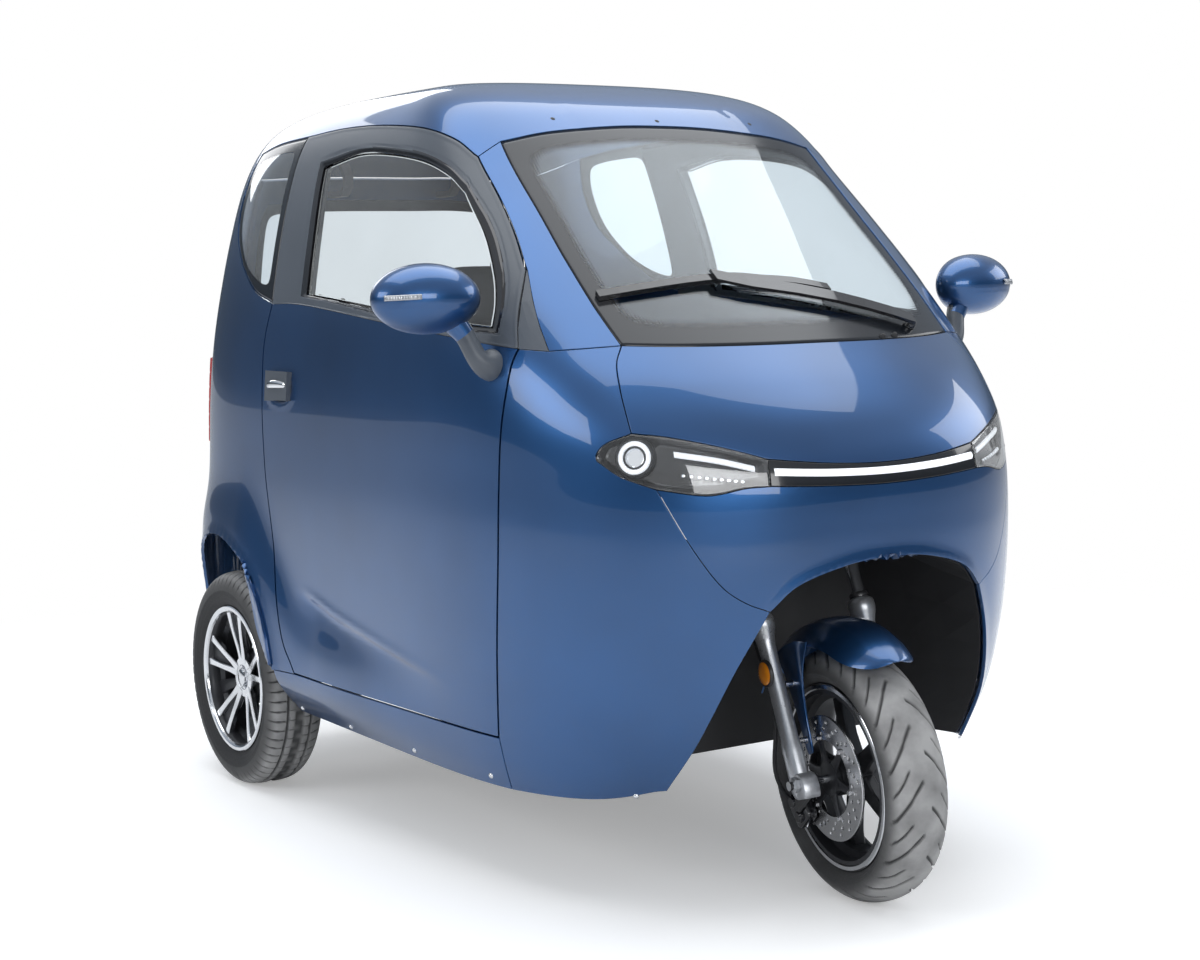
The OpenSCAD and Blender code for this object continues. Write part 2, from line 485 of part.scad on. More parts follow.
// FRAME, FLOOR AND CABIN
rail_x = 250;
rail_w = 40;
rail_h = 50;
rail_top = floor_z - 6;
deck_z = 560;
sheet_t = 5.7;
rear_end = 1035;
post_at = [488, -560];
post_r = 12;
eye_r = 8;
head_low = 500;
head_h = 130;
stem_r = 20;
axis_y = front_axle_y + (leg_offset + axle_lead) / cos(rake);
wheel_at = [0, -(leg_offset + axle_lead), -(leg_offset + axle_lead) * tan(rake)];
spring_span = 480;
leaf_r = 1200;
leaf_t = 6;
leaf_rise = leaf_r - sqrt(pow(leaf_r - leaf_t, 2) - pow(spring_span / 2 - 14, 2));
wall_y = -554;
floor_front = wall_y + 26;
module box(a, b) translate(a) cube(b - a);
module beam(x, a, b) box([min(x * a[0], x * b[0]), a[1], a[2]], [max(x * a[0], x * b[0]), b[1], b[2]]);
module raked() translate([0, axis_y, front_tyre_r]) rotate([-rake, 0, 0]) children();
module steered() raked() rotate([0, 0, parked_steer]) children();
// A profile in the YZ plane, w wide and centred on x
module slab(x, w) translate([x - w / 2, 0, 0]) rotate([90, 0, 90]) linear_extrude(w) children();

// Ladder of rails, cross-members and outriggers under the floor
module chassis_frame() color(black) {
    for (s = [-1, 1]) {
        slab(s * rail_x, rail_w) polygon([[wall_y + 14, rail_top - rail_h], [436, rail_top - rail_h],
            [438, rail_top], [wall_y + 14, rail_top]]);
        beam(s, [rail_x, -480, rail_top - 40], [post_at[0] + 30, -440, rail_top]);
        beam(s, [rail_x, 300, rail_top - 40], [520, 335, rail_top]);
        beam(s, [post_at[0] - 14, post_at[1] - 14, rail_top - 40], [post_at[0] + 6, -440, rail_top]);
    }
    for (y = [wall_y + 14, 30]) box([-rail_x, y, rail_top - rail_h], [rail_x, y + 40, rail_top]);
}
// Raised part of the ladder over the axle, bolted on the ends of the low rails
module rear_frame() color(black) {
    for (s = [-1, 1]) slab(s * rail_x, rail_w) {
        polygon([[420.3, rail_top + 0.3], [438, rail_top + 0.3], [470, deck_z - sheet_t - rail_h],
            [rear_end, deck_z - sheet_t - rail_h], [rear_end, deck_z - sheet_t - 0.3],
            [420.3, deck_z - sheet_t - 0.3]]);
        for (e = [-1, 1])
            translate([rear_axle_y + e * (spring_span / 2 - 26) - 12, rear_tyre_r + 32.6 + leaf_rise])
            square([24, deck_z - sheet_t - 20 - rear_tyre_r - 32.6 - leaf_rise]);
    }
    for (y = [470, rear_end - rail_w])
        box([-rail_x, y, deck_z - sheet_t - rail_h], [rail_x, y + 40, deck_z - sheet_t - 0.3]);
    // Towing eye behind the rear cross-member
    difference() {
        slab(0, tow_w) polygon([[1000, 520], [1030, 520], [1060, 310], [1070, 290], [1070, 268], [1060, 256],
            [1034, 256], [1022, 268], [1018, 310]]);
        translate([0, tow_at[0], tow_at[1]]) rotate([0, 90, 0]) cylinder(r = tow_r, h = 30, center = true);
    }
}
// Hoop bolted on the ladder: two posts with the door hinges, the tube between them, the head
// tube on it and two stays
module front_hoop() color(black) difference() {
    union() {
        raked() translate([0, 0, head_low]) cylinder(r = 30, h = head_h);
        for (s = [-1, 1]) {
            translate([s * post_at[0], post_at[1], rail_top + 0.3]) cylinder(r = post_r, h = 1019 - rail_top);
            rod([s * 90, wall_y + 13, 778], [s * (rail_x - 15), wall_y + 13, rail_top + 18], 11, 11);
            beam(s, [rail_x - 30, wall_y + 2, rail_top + 0.3], [rail_x, wall_y + 24, rail_top + 30]);
            for (z = hinge_levels) hinge_bracket(s, z);
        }
        translate([0, post_at[1], 784]) rotate([0, 90, 0])
            cylinder(r = 15, h = 2 * post_at[0], center = true);
    }
    raked() translate([0, 0, head_low - 40]) cylinder(r = stem_r + 0.5, h = head_h + 100);
}
tow_at = [1046, 282];
tow_r = 12;
tow_w = 10;
// Two ears and the pin between them that carry one door
module hinge_bracket(s, z) {
    for (h = [z + 20.5, z - 28.5]) translate([0, 0, h]) linear_extrude(8) {
        polygon([[s * post_at[0], post_at[1] + 8], [s * post_at[0], post_at[1] - 8],
            [-s * hinge_axis[0] + s * 3, hinge_axis[1] - 7],
            [-s * hinge_axis[0] - s * 3, hinge_axis[1] + 7]]);
        translate([-s * hinge_axis[0], hinge_axis[1]]) circle(eye_r);
    }
    translate([-s * hinge_axis[0], hinge_axis[1], z - 21]) cylinder(r = hinge_pin_r, h = 42);
}
module floor_pan() color([0.13, 0.13, 0.14]) {
    slab(0, 880) polygon([[floor_front, floor_z], [414, floor_z], [414, deck_z], [1040, deck_z],
            [1040, deck_z - sheet_t], [420, deck_z - sheet_t], [420, floor_z - sheet_t],
            [floor_front, floor_z - sheet_t]]);
    for (s = [-1, 1]) beam(s, [440, -440, floor_z - sheet_t], [536, 330, floor_z]);
}
module wheel_liner() color(black) {
    edge = joined([arch_side, arch_top, reversed(mirrored(arch_side))]);
    k = len(edge);
    front = [for (c = edge) skin(c[0], c[1]) - (panel_t + 4) * skin_normal(c[0], c[1])];
    rows = [for (t = [0, 0.3, 0.6, 1]) for (p = front)
        [p[0] * (1 - 0.12 * t), lerp(p[1], wall_y - 6, t), p[2] + lift(p[2]) * smooth(0, 0.6, t)]];
    difference() {
        shell(rows, [for (p = rows) p + 3 * unit([p[0], 0, max(0, p[2] - 300)])], k);
        raked() translate([0, 0, 300]) cylinder(r = 44, h = 400);
    }
    translate([0, wall_y - 0.3, 0]) rotate([90, 0, 0]) linear_extrude(5.4)
        polygon(concat([for (p = front) [p[0] * 0.885, p[2] + lift(p[2])]]));
}
// How far the liner rises inside the nose, to clear the fork's crown
function lift(z) = 45 * smooth(420, 600, z);
module battery_pack() color([0.2, 0.2, 0.22])
    box([-200, -60, floor_z + 0.3], [200, 300, floor_z + 190]);
module seat(w, y, z, depth, back, head) {
    rotate([90, 0, 90]) translate([y, z, -w / 2]) linear_extrude(w) {
        offset_plate_at(0, 0, depth, 90, 30);
        translate([depth - 30, 60]) rotate(-12) offset_plate_at(0, 0, 80, back, 34);
    }
}
module offset_plate_at(x, y, w, h, r) translate([x + w / 2, y + h / 2]) offset_plate(w / 2, h / 2, r);
module driver_seat() color([0.09, 0.09, 0.1]) {
    seat(430, -90, floor_z + 190.3, 400, 520);
    translate([0, 460, floor_z + 790]) rotate([-12, 0, 0]) translate([0, 0, 45])
        rotate([90, 0, 0]) translate([0, 0, -40]) linear_extrude(75) offset_plate(125, 75, 40);
    for (x = [-60, 60]) translate([x, 460, floor_z + 790]) rotate([-12, 0, 0])
        translate([0, 0, -80]) cylinder(r = 6, h = 90);
}
module rear_seat() color([0.09, 0.09, 0.1])
    seat(840, 522, deck_z + 0.3, 330, 420);
module dashboard() color(black) difference() {
    intersection() {
        rotate([90, 0, 90]) translate([0, 0, -500]) linear_extrude(1000)
            polygon([[-690, 996], [-650, 1018], [-600, 1016], [-572, 996], [-562, 960], [-566, 880],
                [-580, 800], [-620, 800], [-660, 900]]);
        translate([0, 0, 700]) linear_extrude(400)
            polygon([[-370, -690], [-465, -585], [-465, -440], [465, -440], [465, -585], [370, -690]]);
    }
    raked() cylinder(r = 70, h = 1200);
}
module rear_axle() color([0.2, 0.2, 0.21]) {
    half = rear_track / 2;
    translate([0, rear_axle_y, rear_tyre_r]) rotate([0, 90, 0]) {
        cylinder(r = 32, h = 2 * half - 130, center = true);
        cylinder(r = 14.7, h = 2 * half + 30, center = true);
        for (s = [-1, 1]) translate([0, 0, s * (half - 57)]) cylinder(r = 88, h = 16, center = true);
        translate([0, 0, 60]) cylinder(r = 92, h = 90, center = true);
    }
    translate([60, rear_axle_y - 150, rear_tyre_r + 10]) rotate([0, 90, 0])
        cylinder(r = 75, h = 200, center = true);
}
module leaf_springs() color(black) for (s = [-1, 1], i = [0:2])
    slab(s * rail_x, 44) translate([rear_axle_y, rear_tyre_r + 32.3 + (leaf_t + 0.3) * i]) intersection() {
        difference() {
            translate([0, leaf_r]) circle(r = leaf_r, $fn = 180);
            translate([0, leaf_r]) circle(r = leaf_r - leaf_t, $fn = 180);
        }
        translate([-spring_span / 2 + 14 + 70 * i, -5]) square([spring_span - 28 - 140 * i, 200]);
    }
wiper_pivot = [-272, 1074];
wiper_rise = 13;
module wiper() color(black) {
    panel(line(nose([[389, 1136], [145, 1162], [11, 1156], [-115, 1138]]), 16),
        line(nose([[389, 1148], [145, 1174], [11, 1168], [-115, 1150]]), 16),
        line(nose([[389, 1136], [389, 1148]]), 1), line(nose([[-115, 1138], [-115, 1150]]), 1),
        wiper_rise - 0.6, depth = 0.1 - wiper_rise);
    panel(line(nose([[145, 1158], wiper_pivot + [4, -9]]), 6),
        line(nose([[145, 1178], wiper_pivot + [-4, 9]]), 6),
        line(nose([[145, 1158], [145, 1178]]), 1),
        line(nose([wiper_pivot + [4, -9], wiper_pivot + [-4, 9]]), 1), 7, depth = -wiper_rise - 6.6);
    rod(on_glass(wiper_pivot, -0.6), on_glass(wiper_pivot, wiper_rise - 0.1), 13, 11);
}
function on_glass(p, out) =
    let (c = nose([p])[0]) skin(c[0], c[1]) + out * skin_normal(c[0], c[1]);

// STEERING, FRONT WHEEL AND REAR WHEELS
module front_fork() color([0.7, 0.71, 0.73]) steered() {
    translate([0, 0, 385]) cylinder(r = stem_r, h = 415);
    translate([0, 0, 384]) {
        translate([-fork_half, -leg_offset - 22, 0]) cube([2 * fork_half, leg_offset + 44, 26]);
        for (s = [-1, 1]) translate([s * fork_half, -leg_offset, 0]) cylinder(r = 24, h = 26);
    }
    for (s = [-1, 1]) translate([s * fork_half, -leg_offset, 0]) {
        translate([0, 0, 200]) cylinder(r = 15, h = 200);
        translate([0, 0, wheel_at[2] - 25]) rotate_extrude() polygon([[0, 0], [20, 0], [20, 70], [17, 90],
            [17, 275], [26, 305], [26, 322], [17, 330], [0, 330]]);
        translate([0, -axle_lead, wheel_at[2]]) rotate([0, 90, 0]) cylinder(r = 17, h = 34, center = true);
    }
    translate(wheel_at) rotate([0, 90, 0]) cylinder(r = 7.7, h = 2 * fork_half + 50, center = true);
}
module front_fender() color(blue) steered() translate(wheel_at) {
    rotate([0, 90, 0]) rotate([0, 0, 142]) rotate_extrude(angle = 94)
        polygon([[252, -76], [268, -66], [290, -40], [298, 0], [290, 40], [268, 66], [252, 76],
            [250, 73], [265, 63], [286, 39], [294, 0], [286, -39], [265, -63], [250, -73]]);
    for (s = [-1, 1]) {
        slab(s * 76, 4) polygon([[-70, 246], [60, 250], [30, 180], [26, 60], [6, 60], [-8, 180]]);
        for (z = [80, 190]) translate([s * 77, axle_lead, z]) rotate([0, s * 90, 0])
            cylinder(r = 6, h = fork_half - 17 - 77 - 0.3);
    }
}
module brake_caliper() color(black) steered() translate(wheel_at) {
    rotate([-20, 0, 0]) translate([disc_x - 26, 80, -35]) difference() {
        cube([46, disc_r - 60, 70]);
        translate([22, -1, -1]) cube([8, disc_r - 73, 72]);
    }
    slab(-(fork_half - 20.3 - 4), 8) polygon([[10, 20], [30, 30], [118, 0], [110, -50], [80, -50], [10, -8]]);
}
module handlebar() color(black) steered() {
    translate([0, 0, 800.3]) translate([-30, -20, 0]) cube([60, 40, 30]);
    translate([0, 0, 815]) rotate([0, 90, 0]) cylinder(r = 11, h = 200, center = true);
    for (s = [-1, 1]) {
        rod([s * 95, 0, 815], [s * 190, 40, 845], 11, 11);
        rod([s * 185, 38, 843], [s * 310, 95, 840], 17, 17);
    }
}
// Tyre section: a crown over two beads, and the rim it sits on. bx is half the rim's width
// between its flanges, and the bead seat lies bead_drop inside the flange's radius.
bead_drop = 14;
function section(r, w, rim, bx, square, t) = concat(
    [[rim - bead_drop + 0.3, -bx + 12], [rim - bead_drop + 0.3, -bx], [rim + 2, -bx]],
    [for (a = [-80:10:80]) [rim + 12 + (r - rim - 12) * pow(abs(cos(a)), square),
        w / 2 * sign(a) * pow(abs(sin(a)), square)]],
    [[rim + 2, bx], [rim - bead_drop + 0.3, bx], [rim - bead_drop + 0.3, bx - 12], [rim + 4, bx - 9]],
    [for (a = [60:-20:-60]) [rim + 10 + (r - rim - 10 - t) * pow(abs(cos(a)), square),
        (w / 2 - t) * sign(a) * pow(abs(sin(a)), square)]], [[rim + 4, 9 - bx]]);
module rim_barrel(rim, bx) {
    seat = rim - bead_drop;
    rotate_extrude($fn = 96) polygon([[seat - 5, -bx - 4], [rim, -bx - 4], [rim, -bx - 0.3],
        [seat, -bx - 0.3], [seat, -22], [seat - 12, -14], [seat - 12, 14], [seat, 22],
        [seat, bx + 0.3], [rim, bx + 0.3],
        [rim, bx + 4], [seat - 5, bx + 4], [seat - 5, 26], [seat - 17, 18], [seat - 17, -18],
        [seat - 5, -26]]);
}
module front_tyre() color([0.07, 0.07, 0.07]) steered() translate(wheel_at) rotate([0, 90, 0])
    rotate_extrude($fn = 96) polygon(section(front_tyre_r, front_tyre_w, front_rim_r, front_bead, 0.95, 11));
front_bead = 46;
rear_bead = 54;
disc_x = -60;
module front_rim() color([0.3, 0.3, 0.32]) steered() translate(wheel_at) rotate([0, 90, 0]) difference() {
    union() {
        rim_barrel(front_rim_r, front_bead);
        cylinder(r = 34, h = 100, center = true);
        for (a = [0:72:359]) rotate(a) translate([30, -15, -12]) cube([front_rim_r - bead_drop - 44, 30, 24]);
    }
    cylinder(r = 8, h = 120, center = true);
}
module brake_disc() color([0.6, 0.6, 0.6]) steered() translate(wheel_at) translate([disc_x, 0, 0])
    rotate([0, 90, 0]) difference() {
        union() {
            cylinder(r = disc_r, h = 4, center = true);
            cylinder(r = 32, h = -disc_x - 50.3);
        }
        for (a = [0:60:359]) rotate(a) translate([62, 0, -5]) cylinder(r = 17, h = 10);
        for (a = [0:30:359]) rotate(a) translate([100, 0, -5]) cylinder(r = 4, h = 10);
        translate([0, 0, -9]) cylinder(r = 8, h = 30);
    }
module rear_place(s)
    translate([s * rear_track / 2, rear_axle_y, rear_tyre_r]) rotate([0, s * 90, 0]) children();
module rear_tyre(s) color([0.07, 0.07, 0.07]) rear_place(s)
    rotate_extrude($fn = 96) polygon(section(rear_tyre_r, rear_tyre_w, rear_rim_r, rear_bead, 0.55, 11));
module rear_rim(s) color([0.75, 0.75, 0.77]) rear_place(s) difference() {
    union() {
        rim_barrel(rear_rim_r, rear_bead);
        translate([0, 0, -30]) cylinder(r = 42, h = 76);
        for (a = [0:72:359]) for (e = [-12, 12]) rotate(a + e)
            translate([24, -8, 28]) cube([rear_rim_r - bead_drop - 27, 16, 15]);
    }
    translate([0, 0, -40]) cylinder(r = 15, h = 62);
}
module rear_tyre_right() rear_tyre(-1);
module rear_rim_right() rear_rim(-1);
module rear_tyre_left() rear_tyre(1);
module rear_rim_left() rear_rim(1);

chassis_frame();
rear_frame();
front_hoop();
floor_pan();
wheel_liner();
battery_pack();
nose_panel();
hood_panel();
cowl_panels();
sill_panels();
pillar_panels();
sail_trims();
roof_shell();
quarter_panels();
quarter_glass();
windshield();
wiper();
headlamps();
light_bar();
rear_panel();
tail_lamps();
dashboard();
driver_seat();
rear_seat();
rear_axle();
leaf_springs();
door_skin_right();
door_frame_right();
door_glass_right();
door_fittings_right();
mirror_right();
door_skin_left();
door_frame_left();
door_glass_left();
door_fittings_left();
mirror_left();
hatch_frame();
hatch_glass();
hatch_fittings();
hatch_brackets();
front_fork();
front_fender();
brake_caliper();
handlebar();
front_tyre();
front_rim();
brake_disc();
rear_tyre_right();
rear_rim_right();
rear_tyre_left();
rear_rim_left();
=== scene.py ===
"""Enclosed electric tricycle: a hollow blue plastic cabin on one steered front wheel and two
driven rear wheels. Metres, +Z up, the nose points to -Y and its right-hand side is -X."""
import math
import bpy
import numpy as np
from mathutils import Matrix


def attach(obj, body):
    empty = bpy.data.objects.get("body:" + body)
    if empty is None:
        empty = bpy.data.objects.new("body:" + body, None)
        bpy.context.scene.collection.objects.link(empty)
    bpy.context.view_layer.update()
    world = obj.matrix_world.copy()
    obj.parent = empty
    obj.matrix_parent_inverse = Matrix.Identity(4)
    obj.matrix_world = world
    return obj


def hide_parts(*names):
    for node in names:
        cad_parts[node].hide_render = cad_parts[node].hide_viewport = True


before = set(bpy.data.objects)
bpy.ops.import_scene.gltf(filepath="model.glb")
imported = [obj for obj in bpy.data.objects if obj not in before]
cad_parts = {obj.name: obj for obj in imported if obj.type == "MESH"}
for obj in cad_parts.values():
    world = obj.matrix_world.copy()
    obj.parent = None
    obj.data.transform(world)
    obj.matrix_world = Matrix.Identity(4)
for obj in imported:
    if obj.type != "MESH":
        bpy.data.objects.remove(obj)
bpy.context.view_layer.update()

# CAMERA AND STUDIO
# The camera stands ahead of the right-hand headlamp at chest height, as it did for the
# photograph. The studio is a pale floor under broad soft lamps, with a low horizon.
right, up, ahead = (0.837664, -0.545856, -0.018976), (0.071249, 0.074759, 0.994653), \
    (0.541518, 0.834537, -0.101515)
camera = bpy.data.objects.new("camera", bpy.data.cameras.new("camera"))
bpy.context.scene.collection.objects.link(camera)
camera.matrix_world = Matrix([
    [right[0], up[0], -ahead[0], -2.47997], [right[1], up[1], -ahead[1], -3.80025],
    [right[2], up[2], -ahead[2], 1.19502], [0, 0, 0, 1]])
camera.data.lens = 61.935
camera.data.sensor_width = 36
camera.data.clip_end = 200
bpy.context.scene.camera = camera
bpy.context.scene.view_settings.view_transform = "Standard"


def new_material(name):
    """Empty node material with a Principled shader; returns its tree and the shader."""
    m = bpy.data.materials.new(name)
    m.use_nodes = True
    tree = m.node_tree
    return m, tree, tree.nodes["Principled BSDF"]


def add_node(tree, kind, **sockets):
    """Node of a kind with its attributes or input sockets set by name."""
    n = tree.nodes.new("ShaderNode" + kind)
    for key, value in sockets.items():
        if hasattr(n, key):
            setattr(n, key, value)
        else:
            n.inputs[key.replace("_", " ")].default_value = value
    return n


def seen_pale(tree):
    """Mix of a plain light with a pale one that the camera, mirrors and glass see."""
    path = add_node(tree, "LightPath")
    a = add_node(tree, "Math", operation="MAXIMUM")
    b = add_node(tree, "Math", operation="MAXIMUM")
    tree.links.new(path.outputs["Is Camera Ray"], a.inputs[0])
    tree.links.new(path.outputs["Is Transmission Ray"], a.inputs[1])
    tree.links.new(a.outputs[0], b.inputs[0])
    tree.links.new(path.outputs["Is Glossy Ray"], b.inputs[1])
    return a, b


world = bpy.data.worlds.new("studio")
bpy.context.scene.world = world
world.use_nodes = True
sky = world.node_tree
sky.nodes.clear()
coords = add_node(sky, "TexCoord")
split = add_node(sky, "SeparateXYZ")
sky.links.new(coords.outputs["Generated"], split.inputs[0])
bands = add_node(sky, "ValToRGB")
ramp = bands.color_ramp
ramp.elements[0].position = 0.0
ramp.elements[0].color = (0.62, 0.64, 0.66, 1)
ramp.elements[1].position = 1.0
ramp.elements[1].color = (0.98, 0.99, 1.0, 1)
for place, tone in ((0.47, (0.42, 0.45, 0.47, 1)), (0.5, (0.10, 0.12, 0.14, 1)),
                    (0.56, (0.14, 0.17, 0.20, 1)), (0.64, (0.45, 0.53, 0.63, 1)),
                    (0.78, (0.80, 0.87, 0.97, 1))):
    ramp.elements.new(place).color = tone
height = add_node(sky, "Math", operation="MULTIPLY_ADD")
height.inputs[1].default_value = 0.5
height.inputs[2].default_value = 0.5
sky.links.new(split.outputs["Z"], height.inputs[0])
sky.links.new(height.outputs[0], bands.inputs["Fac"])
glow = add_node(sky, "Background", Strength=0.62)
sky.links.new(bands.outputs[0], glow.inputs["Color"])
white = add_node(sky, "Background", Color=(1, 1, 1, 1), Strength=1.0)
direct, any_ray = seen_pale(sky)
choose = add_node(sky, "MixShader")
sky.links.new(direct.outputs[0], choose.inputs[0])
sky.links.new(glow.outputs[0], choose.inputs[1])
sky.links.new(white.outputs[0], choose.inputs[2])
sky.links.new(choose.outputs[0], add_node(sky, "OutputWorld").inputs["Surface"])


def lamp(name, place, aim, size, power, tone=(1, 1, 1)):
    """Rectangular area lamp that looks from its place at the point it is aimed at."""
    data = bpy.data.lights.new(name, "AREA")
    data.shape = "RECTANGLE"
    data.size, data.size_y = size
    data.energy = power
    data.color = tone
    o = bpy.data.objects.new(name, data)
    bpy.context.scene.collection.objects.link(o)
    z = np.array(place, float) - np.array(aim, float)
    z /= np.linalg.norm(z)
    x = np.cross((0, 0, 1), z) if abs(z[2]) < 0.99 else np.array((1.0, 0, 0))
    x /= np.linalg.norm(x)
    y = np.cross(z, x)
    o.matrix_world = Matrix([[x[i], y[i], z[i], place[i]] for i in range(3)] + [[0, 0, 0, 1]])
    return o


lamp("sky_lamp", (0.3, 0.2, 5.2), (0, 0, 0.6), (6.5, 4.4), 200, (0.94, 0.97, 1.0))
lamp("front_lamp", (-1.6, -6.4, 2.2), (0, -0.6, 0.5), (4.5, 1.6), 105)
lamp("side_lamp", (-6.4, 0.4, 3.2), (0, 0.2, 0.8), (4.0, 2.0), 90)
lamp("left_lamp", (5.4, -1.4, 3.0), (0, 0, 0.8), (3.2, 2.0), 55)
lamp("back_lamp", (0.6, 6.0, 3.4), (0, 0.3, 0.8), (3.6, 2.0), 60)

floor_mesh = bpy.data.meshes.new("floor")
floor_mesh.from_pydata([(-40, -40, 0), (40, -40, 0), (40, 40, 0), (-40, 40, 0)], [], [(0, 1, 2, 3)])
floor = bpy.data.objects.new("floor", floor_mesh)
bpy.context.scene.collection.objects.link(floor)
pale, tree, shader = new_material("pale_floor")
shader.inputs["Base Color"].default_value = (0.86, 0.86, 0.86, 1)
shader.inputs["Roughness"].default_value = 0.9
shader.inputs["Specular IOR Level"].default_value = 0.0
lit = add_node(tree, "Emission", Color=(1, 1, 1, 1), Strength=0.30)
near = add_node(tree, "AddShader")
tree.links.new(shader.outputs[0], near.inputs[0])
tree.links.new(lit.outputs[0], near.inputs[1])
where = add_node(tree, "TexCoord")
distance = add_node(tree, "VectorMath", operation="LENGTH")
tree.links.new(where.outputs["Object"], distance.inputs[0])
far = add_node(tree, "MapRange", interpolation_type="SMOOTHSTEP")
far.inputs["From Min"].default_value, far.inputs["From Max"].default_value = 1.6, 3.4
tree.links.new(distance.outputs["Value"], far.inputs["Value"])
blank = add_node(tree, "Emission", Color=(1, 1, 1, 1), Strength=1.0)
total = add_node(tree, "MixShader")
tree.links.new(far.outputs[0], total.inputs[0])
tree.links.new(near.outputs[0], total.inputs[1])
tree.links.new(blank.outputs[0], total.inputs[2])
direct, any_ray = seen_pale(tree)
choose = add_node(tree, "MixShader")
tree.links.new(direct.outputs[0], choose.inputs[0])
tree.links.new(shader.outputs[0], choose.inputs[1])
tree.links.new(total.outputs[0], choose.inputs[2])
tree.links.new(choose.outputs[0], tree.nodes["Material Output"].inputs["Surface"])
floor.data.materials.append(pale)

# BODY SURFACE
# The cabin's outside is one smooth shape: a stack of rounded outlines from the sills to the
# roof, with a haunch swelling out over each rear wheel. Every panel and pane is cut from it.
#   v     z    front  rear half  nf   mf   nr   mr
LEVELS = np.array([
    [200, 200, -800, 1075, 545, 2.5, 4.4, 4.0, 6.0],
    [260, 260, -842, 1082, 564, 2.5, 4.2, 4.0, 6.0],
    [360, 360, -900, 1088, 580, 2.5, 4.0, 4.0, 6.0],
    [480, 480, -930, 1092, 594, 2.5, 4.0, 4.0, 6.0],
    [600, 600, -945, 1094, 600, 2.5, 4.0, 4.0, 6.0],
    [720, 720, -948, 1094, 602, 2.5, 4.0, 4.0, 6.0],
    [820, 820, -940, 1092, 600, 2.5, 4.0, 4.0, 6.0],
    [900, 900, -905, 1088, 597, 2.5, 4.3, 4.0, 6.0],
    [980, 980, -832, 1083, 591, 2.5, 4.8, 4.0, 6.0],
    [1060, 1060, -735, 1077, 581, 2.5, 5.5, 4.0, 6.0],
    [1160, 1160, -614, 1068, 563, 2.6, 6.0, 4.0, 6.0],
    [1280, 1280, -472, 1053, 537, 2.7, 6.2, 4.0, 6.0],
    [1400, 1400, -336, 1032, 504, 2.8, 5.8, 4.0, 6.0],
    [1480, 1480, -246, 1004, 474, 3.0, 5.6, 4.0, 5.5],
    [1540, 1532, -176, 966, 440, 3.0, 5.0, 3.6, 5.0],
    [1600, 1568, -90, 905, 390, 3.0, 4.4, 3.2, 4.0],
    [1680, 1592, 10, 810, 305, 2.8, 4.0, 2.8, 3.0],
    [1780, 1604, 150, 690, 195, 2.4, 3.0, 2.4, 2.6],
    [1900, 1609, 330, 520, 70, 2.0, 2.2, 2.0, 2.2]])


def level(v):
    """Columns of LEVELS at v, by cubics through the rows with slopes from their neighbours."""
    rows = LEVELS
    v = np.asarray(v, float)
    i = np.clip(np.searchsorted(rows[:, 0], v, side="right") - 1, 0, len(rows) - 2)
    before, after = np.maximum(np.arange(len(rows)) - 1, 0), np.minimum(np.arange(len(rows)) + 1, len(rows) - 1)
    slopes = (rows[after] - rows[before]) / (rows[after, :1] - rows[before, :1])
    h = (rows[i + 1, 0] - rows[i, 0])[..., None]
    t = ((v - rows[i, 0]) / h[..., 0])[..., None]
    return ((2 * t**3 - 3 * t**2 + 1) * rows[i] + (t**3 - 2 * t**2 + t) * h * slopes[i]
            + (3 * t**2 - 2 * t**3) * rows[i + 1] + (t**3 - t**2) * h * slopes[i + 1])


def smooth(a, b, v):
    """Soft step from 0 at a to 1 at b."""
    t = np.clip((np.asarray(v, float) - a) / (b - a), 0, 1)
    return t * t * (3 - 2 * t)


def widest(v):
    """Where along Y a level is widest: 100 up to the roof, then back to the roof's pole."""
    return 100 + 325 * smooth(1560, 1900, v)


def flare(y, z):
    """How far the haunch stands out: low on the door, high over the rear wheel."""
    on_door, at_wheel = smooth(-350, 300, y), smooth(250, 620, y)
    top = 340 + 80 * on_door + 240 * at_wheel
    reach = 634 - 24 * (1 - at_wheel)
    return (on_door * smooth(195, 330, z) * np.maximum(0, reach - level(np.minimum(z, 900))[..., 4])
            / (1 + np.exp(np.clip((z - top) / 32, -40, 40))))


def skin(c):
    """Point of the body in mm at chart places [angle, v]: the angle runs from 0 at the nose
    over 90 at the widest place to 180 at the tail, and a negative one is the left side. Along
    that ray the outline (x/half)^n + (y/length)^m = 1 is met by Newton steps from outside."""
    c = np.asarray(c, float)
    angle, v = c[..., 0], c[..., 1]
    angle = np.where(angle > 180, angle - 360, angle)
    rows = level(v)
    fore = np.abs(angle) <= 90
    s = np.maximum(np.abs(np.sin(np.radians(angle))), 1e-6)
    k = np.maximum(np.abs(np.cos(np.radians(angle))), 1e-6)
    half = rows[..., 4]
    length = np.abs(np.where(fore, rows[..., 2], rows[..., 3]) - widest(v))
    n = np.where(fore, rows[..., 5], rows[..., 7])
    m = np.where(fore, rows[..., 6], rows[..., 8])
    r = np.minimum(half / s, length / k)
    for _ in range(14):
        a, b = (r * s / half)**n, (r * k / length)**m
        r = r - (a + b - 1) * r / (n * a + m * b)
    y = widest(v) - r * np.cos(np.radians(angle))
    x = r * s
    x = x + flare(y, rows[..., 1]) * x / half
    return np.stack([np.where(angle < 0, x, -x), y, rows[..., 1]], -1)


def skin_normal(c):
    """Outward unit normal, from short steps on the surface."""
    c = np.asarray(c, float)
    p = skin(c + [0.15, 0]) - skin(c - [0.15, 0])
    q = skin(c + [0, 2]) - skin(c - [0, 2])
    n = np.cross(q, p)
    return n / np.maximum(np.linalg.norm(n, axis=-1, keepdims=True), 1e-9)


def v_of(z):
    """The chart's v at a height."""
    z = np.asarray(z, float)
    return np.where(z <= 1480, z, z + smooth(1480, 1532, z) * 8 * (z - 1480) / 52)


